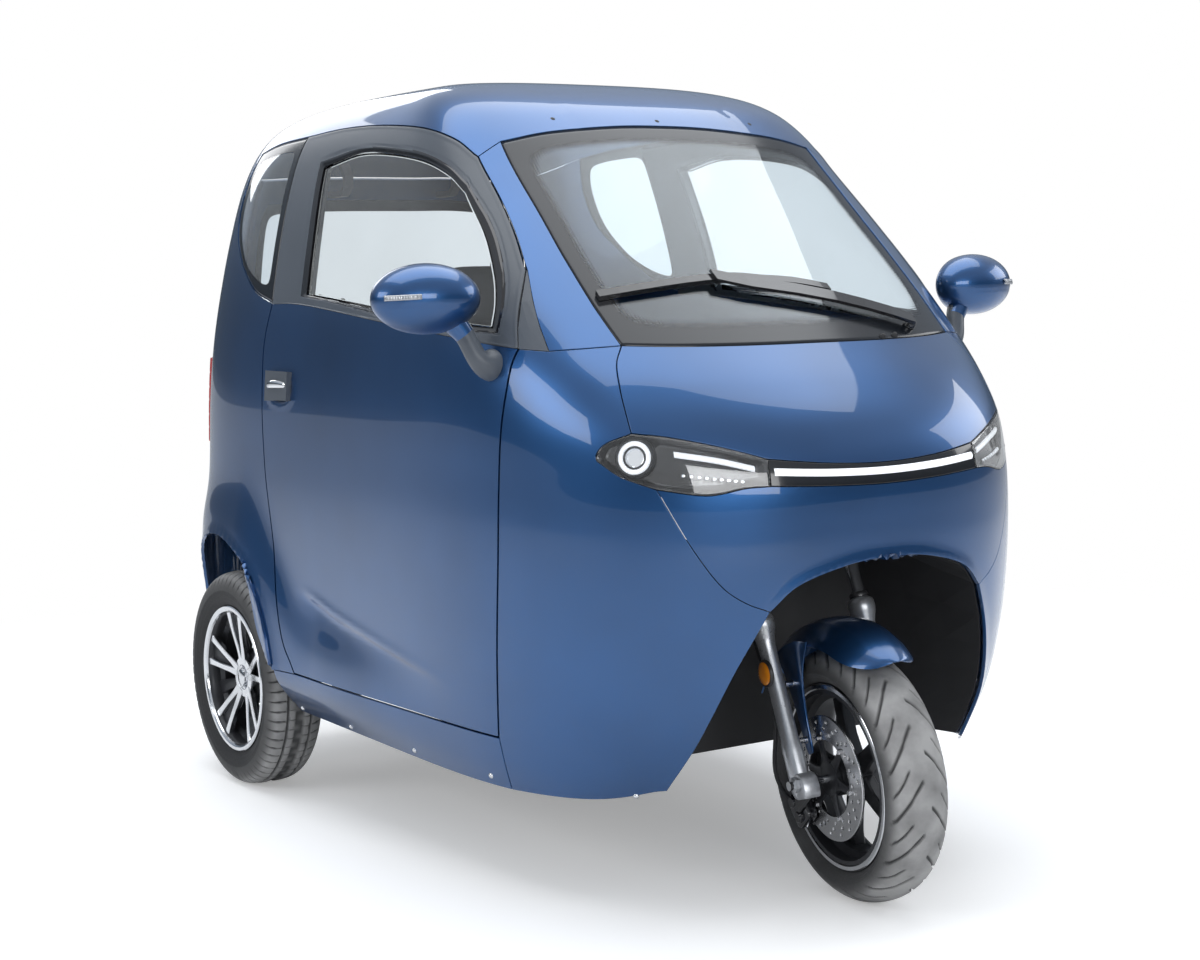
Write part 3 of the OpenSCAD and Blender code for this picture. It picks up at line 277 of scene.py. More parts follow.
def side(points):
    """Chart places of [y, z] seen from the right-hand side."""
    p = np.array(points, float)
    v = v_of(p[:, 1])
    rows, w = level(v), widest(v_of(p[:, 1]))
    fore = p[:, 0] < w
    t = np.abs((p[:, 0] - w) / (np.where(fore, rows[:, 2], rows[:, 3]) - w))
    x = rows[:, 4] * np.maximum(1 - t**np.where(fore, rows[:, 6], rows[:, 8]), 0)**(
        1 / np.where(fore, rows[:, 5], rows[:, 7]))
    return np.stack([np.degrees(np.arctan2(x, w - p[:, 0])), v], -1)


def nose(points, rear=False):
    """Chart places of [x, z] seen from ahead, or from behind; x is counted to the right."""
    p = np.array(points, float)
    v = v_of(p[:, 1])
    rows, w = level(v), widest(v)
    n, m = (rows[:, 7], rows[:, 8]) if rear else (rows[:, 5], rows[:, 6])
    t = np.minimum(np.abs(p[:, 0]) / rows[:, 4], 1)
    y = np.abs((rows[:, 3] if rear else rows[:, 2]) - w) * (1 - t**n)**(1 / m)
    a = np.degrees(np.arctan2(np.abs(p[:, 0]), y))
    if rear:
        return np.stack([np.where(p[:, 0] < 0, 180 + a, 180 - a), v], -1)
    return np.stack([np.sign(p[:, 0]) * a, v], -1)


def tail(points):
    """Chart places of [x, z] seen from behind."""
    return nose(points, rear=True)


def curve(points, n=160):
    """Smooth line through points, each stretch a cubic with the mean of its ends' slopes."""
    p = np.asarray(points, float)
    if len(p) < 3:
        t = np.linspace(0, 1, n + 1)[:, None]
        return p[0] * (1 - t) + p[-1] * t
    q = np.vstack([2 * p[0] - p[1], p, 2 * p[-1] - p[-2]])
    t = np.linspace(0, len(p) - 1, n + 1)
    k = np.minimum(t.astype(int), len(p) - 2)
    u = (t - k)[:, None]
    a, b, c, d = q[k], q[k + 1], q[k + 2], q[k + 3]
    return 0.5 * (2 * b + (c - a) * u + (2 * a - 5 * b + 4 * c - d) * u**2
                  + (3 * b - a - 3 * c + d) * u**3)


def even(points, n, on=skin):
    """The same line with n equal steps, measured on the body."""
    p = np.asarray(points, float)
    s = np.concatenate([[0], np.cumsum(np.linalg.norm(np.diff(on(p), axis=0), axis=1))])
    t = np.linspace(0, s[-1], n + 1)
    return np.stack([np.interp(t, s, p[:, i]) for i in range(p.shape[1])], -1)


def rail(n, *parts):
    """Lines put end to end with n steps in all, and a step's end wherever two lines meet."""
    lengths = np.array([np.linalg.norm(np.diff(skin(p), axis=0), axis=1).sum() for p in parts])
    ends = np.round(np.cumsum(lengths) / lengths.sum() * n).astype(int)
    counts = np.maximum(np.diff(np.concatenate([[0], ends])), 1)
    counts[np.argmax(counts)] += n - counts.sum()
    pieces = [even(p, c) for p, c in zip(parts, counts)]
    return np.vstack([p[:-1] for p in pieces] + [pieces[-1][-1:]])


def other(line):
    """A line's mirror image on the left-hand side."""
    return np.stack([-line[:, 0], line[:, 1]], -1)


def around(line):
    """A tail line's mirror image, with its angle past 180."""
    return np.stack([360 - line[:, 0], line[:, 1]], -1)


def coons(low, high, left, right):
    """Grid inside four lines: the sum of both ruled surfaces less the one of the corners."""
    s = np.linspace(0, 1, len(low))[None, :, None]
    t = np.linspace(0, 1, len(left))[:, None, None]
    return ((1 - t) * low[None] + t * high[None] + (1 - s) * left[:, None] + s * right[:, None]
            - (1 - s) * (1 - t) * low[0] - s * (1 - t) * low[-1] - (1 - s) * t * high[0]
            - s * t * high[-1])


def unit(v):
    """Vectors made one long."""
    return v / np.maximum(np.linalg.norm(v, axis=-1, keepdims=True), 1e-12)


def drawn_in(points, normals, gaps):
    """Grid with its rims moved in over the surface by gaps [left, right, low, high], square to
    each rim and mitred at its corners."""
    m, n = points.shape[:2]
    j = np.concatenate([np.zeros(n - 1, int), np.arange(m - 1), np.full(n - 1, m - 1),
                        np.arange(m - 1, 0, -1)])
    i = np.concatenate([np.arange(n - 1), np.full(m - 1, n - 1), np.arange(n - 1, 0, -1),
                        np.zeros(m - 1, int)])
    gap = np.concatenate([np.full(n - 1, gaps[2]), np.full(m - 1, gaps[1]), np.full(n - 1, gaps[3]),
                          np.full(m - 1, gaps[0])])
    rim, out = points[j, i], normals[j, i]
    turn = np.sign(np.sum(np.cross(points[0, 1] - points[0, 0], points[1, 0] - points[0, 0]) * out[0])) or 1
    to = unit(turn * np.cross(out, np.roll(rim, -1, 0) - rim))
    back = unit(turn * np.cross(out, rim - np.roll(rim, 1, 0)))
    g1, g2 = gap[:, None], np.roll(gap, 1)[:, None]
    c = np.sum(to * back, -1, keepdims=True)
    flat = (g1 + g2) / 2 * (to + back) / np.maximum(0.4, 1 + c)
    sharp = ((g1 - g2 * c) * to + (g2 - g1 * c) * back) / np.maximum(1 - c * c, 0.05)
    moved = points.copy()
    moved[j, i] = rim + np.where((c > 0.9) | (c < -0.6), flat, sharp)
    return moved


def grid_faces(m, n, ring=False):
    """Squares of a grid of m rows of n points, whose rows close on themselves as a ring."""
    a = np.arange(m * n).reshape(m, n)
    b = np.roll(a, -1, axis=1)
    cols = slice(0, n if ring else n - 1)
    return np.stack([a[:-1, cols], b[:-1, cols], b[1:, cols], a[1:, cols]], -1).reshape(-1, 4)


def mesh_of(name, parts, body, material, smooth_shade=True, values=None, uv=None):
    """Piece from (points in mm, faces) pairs, joined; values and uv are given per point."""
    points, faces, at = [], [], 0
    for p, f in parts:
        p = np.asarray(p, float).reshape(-1, 3)
        points.append(p)
        faces += [tuple(int(k) + at for k in q) for q in f] if isinstance(f, list) else (np.asarray(f) + at).tolist()
        at += len(p)
    points = np.vstack(points) / 1000
    mesh = bpy.data.meshes.new(name)
    mesh.from_pydata(points.tolist(), [], faces)
    mesh.update()
    if smooth_shade:
        mesh.polygons.foreach_set("use_smooth", np.ones(len(mesh.polygons), bool))
    for key, column in (values or {}).items():
        mesh.attributes.new(key, "FLOAT", "POINT").data.foreach_set("value", np.asarray(column, float).ravel())
    if uv is not None:
        layer = mesh.uv_layers.new(name="UVMap")
        corner = np.zeros(len(mesh.loops), int)
        mesh.loops.foreach_get("vertex_index", corner)
        layer.data.foreach_set("uv", np.asarray(uv, float).reshape(-1, 2)[corner].ravel())
    for m in material if isinstance(material, (list, tuple)) else [material]:
        mesh.materials.append(m)
    o = bpy.data.objects.new(name, mesh)
    bpy.context.scene.collection.objects.link(o)
    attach(o, body)
    return o


def finish_shell(o, wall, round_edge=1.2, segments=2, sharper=60):
    """Gives a sheet its wall inward and rounds its rims."""
    solid = o.modifiers.new("wall", "SOLIDIFY")
    solid.thickness = wall / 1000
    solid.offset = -1
    solid.use_even_offset = False
    if round_edge:
        bevel = o.modifiers.new("rounded_rims", "BEVEL")
        bevel.width = round_edge / 1000
        bevel.segments = segments
        bevel.limit_method = "ANGLE"
        bevel.angle_limit = math.radians(sharper)
        bevel.harden_normals = True
    return o


def sheet_part(grid, gaps=(0.7, 0.7, 0.7, 0.7), depth=0.0, relief=None):
    """Points, faces, rim distances and uv of one panel over a grid of chart places, lowered by
    depth and moved out by relief(points)."""
    p, out = skin(grid), skin_normal(grid)
    p = drawn_in(p, out, gaps)
    if relief is not None:
        p = p + relief(p)[..., None] * out
    p = p - depth * out
    m, n = p.shape[:2]
    across = np.linalg.norm(np.diff(p, axis=1), axis=-1)
    along = np.linalg.norm(np.diff(p, axis=0), axis=-1)
    u = np.concatenate([np.zeros((m, 1)), np.cumsum(across, 1)], 1)
    w = np.concatenate([np.zeros((1, n)), np.cumsum(along, 0)], 0)
    rims = np.stack([u, u[:, -1:] - u, w, w[-1:] - w], -1)
    faces = grid_faces(m, n)
    up_first = np.cross(p[0, 1] - p[0, 0], p[1, 0] - p[0, 0]) @ out[0, 0]
    mid = (m // 2, n // 2)
    up_first = np.cross(p[mid[0], mid[1] + 1] - p[mid], p[mid[0] + 1, mid[1]] - p[mid]) @ out[mid]
    if up_first < 0:
        faces = faces[:, ::-1]
    return p, faces, rims, np.stack([u, w], -1)


def flip(part):
    """A panel's mirror image on the left-hand side."""
    p, faces = part[0] * [-1, 1, 1], part[1][:, ::-1]
    return (p, faces) + tuple(part[2:])


# SEAM LINES
# Lines where the real panels meet, on the right-hand side: [x, z] from ahead or behind and
# [y, z] from the side.
corner = [396, 1056]
hood_side = curve(nose([[442, 904], [440, 940], [434, 980], [420, 1024], corner]))
lamp_top = curve(nose([[442, 904], [400, 898], [349, 886], [296, 871], [243, 854]]))
lamp_low = curve(nose([[422, 805], [363, 794], [333, 795], [291, 804], [246, 806]]))
lamp_end = curve(nose([[422, 805], [463, 826], [481, 845], [490, 860], [478, 884], [442, 904]]))
lamp_joint = curve(nose([[246, 806], [243, 854]]))
bar_low = curve(nose([[246, 806], [120, 800], [0, 797], [-120, 800], [-246, 806]]))
bar_top = curve(nose([[243, 854], [120, 841], [0, 836], [-120, 841], [-243, 854]]))
nose_side = curve(nose([[251, 582], [295, 601], [336, 635], [381, 708], [422, 805]]))
arch_side = curve(nose([[362, 240], [347, 314], [330, 390], [300, 480], [251, 582]]))
arch_top = curve(nose([[251, 582], [196, 627], [93, 656], [0, 662], [-93, 656], [-196, 627],
                       [-251, 582]]))
glass_low = curve(nose([corner, [300, 1052], [150, 1050], [0, 1050], [-150, 1050], [-300, 1052],
                        [-corner[0], corner[1]]]))
glass_side = curve(nose([corner, [402, 1120], [402, 1214], [396, 1320], [386, 1450]]))
header = curve(nose([[386, 1450], [270, 1472], [120, 1486], [0, 1489], [-120, 1486], [-270, 1472],
                     [-386, 1450]]))
pillar_low = curve(np.vstack([nose([corner]), side([[-586, 1048]])]))
sail_low = curve(side([[-586, 1048], [-531, 1052]]))
sail_front = curve(side([[-586, 1048], [-530, 1115], [-466, 1196]]))
sail_rear = curve(side([[-531, 1052], [-505, 1110], [-466, 1196]]))
frame_front = curve(side([[-466, 1196], [-398, 1269], [-323, 1341], [-236, 1420]]))
pillar_top = curve(np.vstack([nose([[386, 1450]]), side([[-236, 1420]])]))
roof_side = curve(side([[-236, 1420], [-167, 1460], [-56, 1489], [140, 1506], [320, 1510], [488, 1504]]))
pillar_rear = curve(side([[478, 1132], [488, 1300], [488, 1504]]))
glass_top = curve(side([[488, 1504], [640, 1498], [772, 1482]]))
glass_bottom = curve(side([[478, 1132], [587, 1160], [690, 1218]]))
glass_back = curve(side([[690, 1218], [782, 1300], [806, 1390], [772, 1482]]))
roof_corner = curve(np.vstack([side([[772, 1482]]), tail([[372, 1432]])]))
hatch_top = curve(tail([[372, 1432], [200, 1440], [0, 1442], [-200, 1440], [-372, 1432]]))
hatch_side = curve(tail([[445, 690], [440, 860], [424, 1080], [400, 1280], [372, 1432]]))
hatch_low = curve(tail([[445, 690], [250, 684], [0, 682], [-250, 684], [-445, 690]]))
tail_side = curve(tail([[455, 300], [452, 480], [445, 690]]))
door_front = curve(side([[-455, 312], [-471, 389], [-492, 508], [-509, 662], [-514, 811],
                         [-519, 904], [-524, 968], [-526, 1023], [-531, 1052]]))
door_rear = curve(side([[331, 321], [347, 342], [381, 387], [410, 475], [441, 607], [471, 740],
                        [486, 851], [493, 963], [496, 1050], [478, 1132]]))
door_low = curve(side([[-455, 312], [331, 321]]))
waist = curve(side([[-531, 1052], [-309, 1076], [-60, 1098], [316, 1130], [478, 1132]]))
arch_rear = curve(side([[425, 318], [446, 400], [486, 480], [560, 550], [690, 592], [820, 580],
                        [908, 525], [958, 430], [973, 300]]))
sill_front = curve(side([[-451, 206], [-455, 312]]))
skirt_low = curve(np.vstack([arch_side[:1], side([[-640, 214], [-451, 206]])]))
sill_low = curve(side([[-451, 206], [425, 214]]))
sill_rear = curve(side([[425, 214], [425, 318]]))
sill_back = curve(side([[331, 321], [425, 318]]))

# BLUE BODY PANELS
# Moulded plastic panels, 7 mm thick, sprayed in a metallic blue under a clear coat. They meet
# in fine seams and are clipped to the frame from inside.
PANEL = 7


def metallic_paint(name, colour):
    """Blue flakes under clear coat: the colour and roughness drift a little over the panel and
    a very fine noise tilts the flakes."""
    m, tree, shader = new_material(name)
    where = add_node(tree, "TexCoord")
    drift = add_node(tree, "TexNoise", Scale=3.0, Detail=2.0)
    flakes = add_node(tree, "TexNoise", Scale=900.0, Detail=1.0)
    tree.links.new(where.outputs["Object"], drift.inputs["Vector"])
    tree.links.new(where.outputs["Object"], flakes.inputs["Vector"])
    tone = add_node(tree, "ValToRGB")
    tone.color_ramp.elements[0].position, tone.color_ramp.elements[1].position = 0.3, 0.7
    tone.color_ramp.elements[0].color = (*[0.86 * c for c in colour], 1)
    tone.color_ramp.elements[1].color = (*[1.12 * c for c in colour], 1)
    tree.links.new(drift.outputs[0], tone.inputs[0])
    tree.links.new(tone.outputs[0], shader.inputs["Base Color"])
    rough = add_node(tree, "MapRange")
    rough.inputs["To Min"].default_value, rough.inputs["To Max"].default_value = 0.27, 0.40
    tree.links.new(flakes.outputs[0], rough.inputs["Value"])
    tree.links.new(rough.outputs[0], shader.inputs["Roughness"])
    bump = add_node(tree, "Bump", Strength=0.05, Distance=0.0004)
    tree.links.new(flakes.outputs[0], bump.inputs["Height"])
    tree.links.new(bump.outputs[0], shader.inputs["Normal"])
    shader.inputs["Metallic"].default_value = 0.82
    shader.inputs["Coat Weight"].default_value = 1.0
    shader.inputs["Coat Roughness"].default_value = 0.03
    shader.inputs["Coat IOR"].default_value = 1.5
    return m


blue = metallic_paint("blue_paint", (0.020, 0.085, 0.235))


def arch_lip(p, line, reach=16, height=4):
    """Rolled edge round a wheel arch: a ridge that fades with the distance from a line."""
    q = skin(line)[::4]
    d = np.min(np.linalg.norm(p[..., None, :] - q, axis=-1), axis=-1)
    return height * np.exp(-(d / reach)**2)


def blue_panel(name, node, parts, body="body", wall=PANEL):
    """Panel parts joined as one piece in place of its CAD node."""
    o = mesh_of(name, [p[:2] for p in parts], body, blue)
    finish_shell(o, wall)
    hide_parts(node)
    return o


nose_low = rail(72, arch_top)
nose_high = rail(72, lamp_low, bar_low, other(lamp_low)[::-1])
blue_panel("nose_shell", "nose_panel", [sheet_part(
    coons(nose_low, nose_high, rail(34, nose_side), other(rail(34, nose_side))),
    relief=lambda p: arch_lip(p, arch_top, 14, 3))])
blue_panel("hood_shell", "hood_panel", [sheet_part(coons(
    rail(80, lamp_top, bar_top, other(lamp_top)[::-1]), rail(80, glass_low),
    rail(40, hood_side), other(rail(40, hood_side))))])
cowl_part = sheet_part(coons(
    rail(40, skirt_low), rail(40, pillar_low, sail_low),
    rail(96, arch_side, nose_side, lamp_end, hood_side), rail(96, sill_front, door_front)),
    (0.7, 1.2, 0.7, 0.7), relief=lambda p: arch_lip(p, arch_side, 14, 3))
blue_panel("cowl_shells", "cowl_panels", [cowl_part, flip(cowl_part)])
sill_part = sheet_part(coons(rail(80, sill_low), rail(80, door_low, sill_back),
                             rail(12, sill_front), rail(12, sill_rear)), (0.7, 0.7, 0.7, 1.2))
blue_panel("sill_shells", "sill_panels", [sill_part, flip(sill_part)])
pillar_part = sheet_part(coons(rail(20, pillar_low), rail(20, pillar_top), rail(60, glass_side),
                               rail(60, sail_front, frame_front)), (0.7, 1.0, 0.7, 0.7))
blue_panel("pillar_shells", "pillar_panels", [pillar_part, flip(pillar_part)])
quarter_part = sheet_part(coons(
    rail(84, sill_back, arch_rear, curve(np.vstack([arch_rear[-1], tail_side[0]]))),
    rail(84, glass_bottom, glass_back, roof_corner), rail(76, door_rear),
    rail(76, tail_side, hatch_side)), (1.2, 1.2, 0.7, 0.7),
    relief=lambda p: arch_lip(p, arch_rear, 15, 4))
blue_panel("quarter_shells", "quarter_panels", [quarter_part, flip(quarter_part)])
rear_part = sheet_part(coons(
    rail(40, curve(tail([[455, 300], [0, 300], [-455, 300]]))), rail(40, hatch_low),
    rail(30, tail_side), around(rail(30, tail_side))), (0.7, 0.7, 0.7, 1.2))
blue_panel("rear_shell", "rear_panel", [rear_part])

# ROOF
# One moulded skin that closes the cabin above the header, the doors and the quarter glass. Two
# shallow joints run back from the header on each side, and two rubber knobs sit on it.
roof_right = rail(84, pillar_top, roof_side, glass_top, roof_corner)
roof_edge = np.vstack([rail(56, header)[::-1][:-1], roof_right[:-1], rail(56, hatch_top)[:-1],
                       around(roof_right)[::-1][:-1]])
roof_edge[:, 0] = np.unwrap(roof_edge[:, 0], period=360)
rows = np.linspace(0, 1, 48)[:, None, None]
summit = np.stack([roof_edge[:, 0], np.full(len(roof_edge), 1890.0)], -1)
roof_grid = roof_edge * (1 - rows) + summit * rows


def roof_relief(p):
    """Shallow joints that run back from the header, 1.2 mm deep and 3 mm wide."""
    x = np.abs(p[..., 0])
    near = smooth(60, -260, p[..., 1])
    return -1.6 * np.exp(-((x - 205 - 0.05 * (p[..., 1] + 240)) / 2.6)**2) * (near > 0.35)


roof_points, roof_out = skin(roof_grid), skin_normal(roof_grid)
inward = unit(roof_points[1] - roof_points[0])
roof_points[0] += 0.7 * inward
roof_points = roof_points + roof_relief(roof_points)[..., None] * roof_out
count = roof_points.shape[1]
faces = grid_faces(*roof_points.shape[:2], ring=True)
if np.cross(roof_points[10, 1] - roof_points[10, 0], roof_points[11, 0] - roof_points[10, 0]) @ roof_out[10, 0] < 0:
    faces = faces[:, ::-1]
cap = [[len(roof_points) * count - count + k for k in range(count)]]
if np.cross(*(roof_points[-1, [20, 60]] - roof_points[-1, 0]))[2] < 0:
    cap = [cap[0][::-1]]
roof = mesh_of("roof_skin", [(roof_points, faces.tolist() + cap)], "body", blue)
finish_shell(roof, PANEL)
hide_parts("roof_shell")

# GLASS
# Bonded panes of tinted glass. The windscreen has a black ceramic border that breaks up into
# dots along its lower edge; the side panes sit behind their frames.


def tinted_glass(name, colour, border=0.0, lower=0.0, dots=0.0):
    """Clear tinted glass whose rim, told by the distance attributes, is black enamel; dots of
    falling size follow the border's inner edge."""
    m, tree, shader = new_material(name)
    shader.inputs["Transmission Weight"].default_value = 1.0
    shader.inputs["IOR"].default_value = 1.45
    where = add_node(tree, "TexCoord")
    film = add_node(tree, "TexNoise", Scale=6.0, Detail=3.0)
    tree.links.new(where.outputs["Object"], film.inputs["Vector"])
    rough = add_node(tree, "MapRange")
    rough.inputs["To Min"].default_value, rough.inputs["To Max"].default_value = 0.0, 0.02
    tree.links.new(film.outputs[0], rough.inputs["Value"])
    tint = add_node(tree, "Mix", data_type="RGBA")
    tint.inputs["A"].default_value = (*colour, 1)
    tint.inputs["B"].default_value = (*[0.94 * c for c in colour], 1)
    tree.links.new(film.outputs[0], tint.inputs[0])
    tree.links.new(tint.outputs["Result"], shader.inputs["Base Color"])
    tree.links.new(rough.outputs[0], shader.inputs["Roughness"])
    if not border:
        return m
    rim = add_node(tree, "Attribute", attribute_name="rim_distance")
    edge = add_node(tree, "MapRange")
    edge.inputs["From Min"].default_value, edge.inputs["From Max"].default_value = border, border + 0.6
    edge.inputs["To Min"].default_value, edge.inputs["To Max"].default_value = 1.0, 0.0
    tree.links.new(rim.outputs["Fac"], edge.inputs["Value"])
    spots = add_node(tree, "TexVoronoi", Scale=1.0, Randomness=0.0)
    place = add_node(tree, "UVMap")
    grow = add_node(tree, "VectorMath", operation="SCALE")
    grow.inputs["Scale"].default_value = 0.16
    tree.links.new(place.outputs[0], grow.inputs[0])
    tree.links.new(grow.outputs[0], spots.inputs["Vector"])
    size = add_node(tree, "MapRange")
    size.inputs["From Min"].default_value = border
    size.inputs["From Max"].default_value = border + max(dots, 1)
    size.inputs["To Min"].default_value, size.inputs["To Max"].default_value = 0.52, 0.0
    tree.links.new(rim.outputs["Fac"], size.inputs["Value"])
    dot = add_node(tree, "Math", operation="LESS_THAN")
    tree.links.new(spots.outputs["Distance"], dot.inputs[0])
    tree.links.new(size.outputs[0], dot.inputs[1])
    black = add_node(tree, "Math", operation="MAXIMUM")
    tree.links.new(edge.outputs[0], black.inputs[0])
    tree.links.new(dot.outputs[0], black.inputs[1])
    paint = add_node(tree, "BsdfPrincipled", Roughness=0.16)
    paint.inputs["Base Color"].default_value = (0.012, 0.014, 0.018, 1)
    both = add_node(tree, "MixShader")
    tree.links.new((black if dots else edge).outputs[0], both.inputs[0])
    tree.links.new(shader.outputs[0], both.inputs[1])
    tree.links.new(paint.outputs[0], both.inputs[2])
    tree.links.new(both.outputs[0], tree.nodes["Material Output"].inputs["Surface"])
    return m


def pane(name, node, parts, body, material, soften=30, wide=(1, 1, 1, 1)):
    """Panes of glass as one closed piece; the rim distance is a soft minimum over the four
    rims, each divided by how wide the border is there, so that its inner corners are round."""
    near = np.concatenate([(-soften * np.log(np.sum(np.exp(-(p[2] / np.array(wide)) / soften), -1))).ravel()
                           for p in parts])
    o = mesh_of(name, [p[:2] for p in parts], body, material,
                values={"rim_distance": near}, uv=np.concatenate([p[3].reshape(-1, 2) for p in parts]))
    finish_shell(o, 5, 0)
    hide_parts(node)
    return o


screen_glass = tinted_glass("windscreen_glass", (0.80, 0.90, 0.97), border=24, dots=16)
clear_glass = tinted_glass("side_glass", (0.93, 0.96, 0.97))
quarter_tint = tinted_glass("quarter_glass", (0.86, 0.92, 0.96), border=30)
screen = sheet_part(coons(rail(80, glass_low), rail(80, header), rail(56, glass_side),
                          other(rail(56, glass_side))), depth=1.2)
pane("windscreen", "windshield", [screen], "body", screen_glass, 16, (1.3, 1.3, 2.2, 1.6))
quarter = sheet_part(coons(rail(30, glass_bottom), rail(30, glass_top), rail(36, pillar_rear),
                           rail(36, glass_back)), depth=1.2)
pane("quarter_panes", "quarter_glass", [quarter, flip(quarter)], "body", quarter_tint, 12)

# PLASTIC, METAL AND RUBBER FINISHES
# Grained black plastic for trims and liners, satin black paint on the frame, turned steel,
# polished and dark cast alloy. Each shows its own fine grain.


def finish(name, colour, rough, metallic=0.0, grain=400.0, bump=0.1, depth=0.0004, spread=0.12,
           coat=0.0, wear=0.0):
    """Solid finish: a noise at the grain's scale moves colour, roughness and bump, and a broad
    one lightens it where it is handled."""
    m, tree, shader = new_material(name)
    where = add_node(tree, "TexCoord")
    fine = add_node(tree, "TexNoise", Scale=grain, Detail=3.0)
    broad = add_node(tree, "TexNoise", Scale=5.0, Detail=3.0)
    for n in (fine, broad):
        tree.links.new(where.outputs["Object"], n.inputs["Vector"])
    mixed = add_node(tree, "Mix", data_type="FLOAT")
    mixed.inputs[0].default_value = 0.5
    tree.links.new(fine.outputs[0], mixed.inputs[2])
    tree.links.new(broad.outputs[0], mixed.inputs[3])
    tone = add_node(tree, "ValToRGB")
    tone.color_ramp.elements[0].position, tone.color_ramp.elements[1].position = 0.3, 0.7
    tone.color_ramp.elements[0].color = (*[max(0, c * (1 - spread)) for c in colour], 1)
    tone.color_ramp.elements[1].color = (*[min(1, c * (1 + spread) + wear) for c in colour], 1)
    tree.links.new(mixed.outputs[0], tone.inputs[0])
    tree.links.new(tone.outputs[0], shader.inputs["Base Color"])
    ruff = add_node(tree, "MapRange")
    ruff.inputs["From Min"].default_value, ruff.inputs["From Max"].default_value = 0.3, 0.7
    ruff.inputs["To Min"].default_value = rough * 0.88
    ruff.inputs["To Max"].default_value = min(1, rough * 1.12)
    tree.links.new(mixed.outputs[0], ruff.inputs["Value"])
    tree.links.new(ruff.outputs[0], shader.inputs["Roughness"])
    lift = add_node(tree, "Bump", Strength=bump, Distance=depth)
    tree.links.new(fine.outputs[0], lift.inputs["Height"])
    tree.links.new(lift.outputs[0], shader.inputs["Normal"])
    shader.inputs["Metallic"].default_value = metallic
    shader.inputs["Coat Weight"].default_value = coat
    return m


# The satin trim is black plastic; its blue-grey tint, 0.080 0.092 0.110, is a painted reflection of the sky.
trim = finish("satin_trim_painted_reflection", (0.080, 0.092, 0.110), 0.36, grain=700, bump=0.15)
gloss_black = finish("gloss_black", (0.012, 0.012, 0.014), 0.12, grain=60, bump=0.02, coat=0.6)
grained = finish("grained_plastic", (0.022, 0.022, 0.024), 0.62, grain=420, bump=0.5, depth=0.0008)
frame_black = finish("frame_paint", (0.020, 0.020, 0.022), 0.38, grain=160, bump=0.15, wear=0.01)
silver = finish("silver_paint", (0.46, 0.47, 0.49), 0.30, 0.75, grain=260, bump=0.12)
steel = finish("turned_steel", (0.55, 0.55, 0.56), 0.24, 1.0, grain=500, bump=0.10)
chrome = finish("chrome", (0.80, 0.81, 0.83), 0.05, 1.0, grain=30, bump=0.01, spread=0.03)
polished = finish("polished_alloy", (0.72, 0.73, 0.75), 0.16, 1.0, grain=300, bump=0.05)
dark_alloy = finish("dark_alloy", (0.035, 0.036, 0.040), 0.34, 0.4, grain=200, bump=0.10)
for node, finish_used in (
        ("chassis_frame", frame_black), ("front_hoop", frame_black),
        ("rear_frame", frame_black), ("floor_pan", grained), ("wheel_liner", grained),
        ("battery_pack", frame_black), ("dashboard", grained), ("rear_axle", frame_black),
        ("leaf_springs", frame_black), ("hatch_brackets", frame_black), ("hatch_fittings", trim),
        ("door_fittings_right", trim), ("door_fittings_left", trim)):
    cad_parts[node].data.materials.clear()
    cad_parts[node].data.materials.append(finish_used)


def path_frames(path):
    """Unit tangents of a polyline, and two directions square to them carried along it."""
    p = np.asarray(path, float)
    t = unit(np.gradient(p, axis=0))
    guide = np.array([0, 0, 1.0]) if abs(t[0, 2]) < 0.9 else np.array([1.0, 0, 0])
    a = unit(guide - (t @ guide)[:, None] * t)
    return t, a, np.cross(t, a)


def tube(path, radius, around_steps=16, closed=False, squash=1.0):
    """Round bar: circles of a radius, one or one per point, square to a path, with flat ends."""
    p = np.asarray(path, float)
    _, a, b = path_frames(p)
    r = np.broadcast_to(np.asarray(radius, float), (len(p),))[:, None, None]
    k = np.linspace(0, 2 * np.pi, around_steps, endpoint=False)
    ring = np.cos(k)[None, :, None] * a[:, None] + squash * np.sin(k)[None, :, None] * b[:, None]
    points = (p[:, None] + r * ring).reshape(-1, 3)
    faces = grid_faces(len(p), around_steps, ring=True).tolist()
    if closed:
        last = np.arange(around_steps) + (len(p) - 1) * around_steps
        first = np.arange(around_steps)
        faces += np.stack([last, np.roll(last, -1), np.roll(first, -1), first], -1).tolist()
    else:
        end = (len(p) - 1) * around_steps
        faces += [list(range(around_steps - 1, -1, -1)), list(range(end, end + around_steps))]
    return points, faces


def turned(profile, at, axis, steps=48, start=0.0, sweep=360.0):
    """Revolved part: [radius, along] points spun about an axis through a point. The profile
    starts and ends on the axis, or is closed by its last point joining its first."""
    q = np.asarray(profile, float)
    axis = unit(np.asarray(axis, float))
    guide = np.array([0, 0, 1.0]) if abs(axis[2]) < 0.9 else np.array([1.0, 0, 0])
    a = unit(guide - (axis @ guide) * axis)
    b = np.cross(axis, a)
    k = np.radians(start + np.linspace(0, sweep, steps, endpoint=False))
    ring = np.cos(k)[:, None] * a + np.sin(k)[:, None] * b
    points = np.asarray(at, float) + q[None, :, :1] * ring[:, None] + q[None, :, 1:] * axis
    n = len(q)
    rows = np.arange(steps * n).reshape(steps, n)
    nxt = np.roll(rows, -1, 0)
    faces = np.stack([rows[:, :-1], rows[:, 1:], nxt[:, 1:], nxt[:, :-1]], -1).reshape(-1, 4).tolist()
    if q[0, 0] > 0.01 or q[-1, 0] > 0.01:
        faces += np.stack([rows[:, -1], rows[:, 0], nxt[:, 0], nxt[:, -1]], -1).tolist()
    return points.reshape(-1, 3), faces


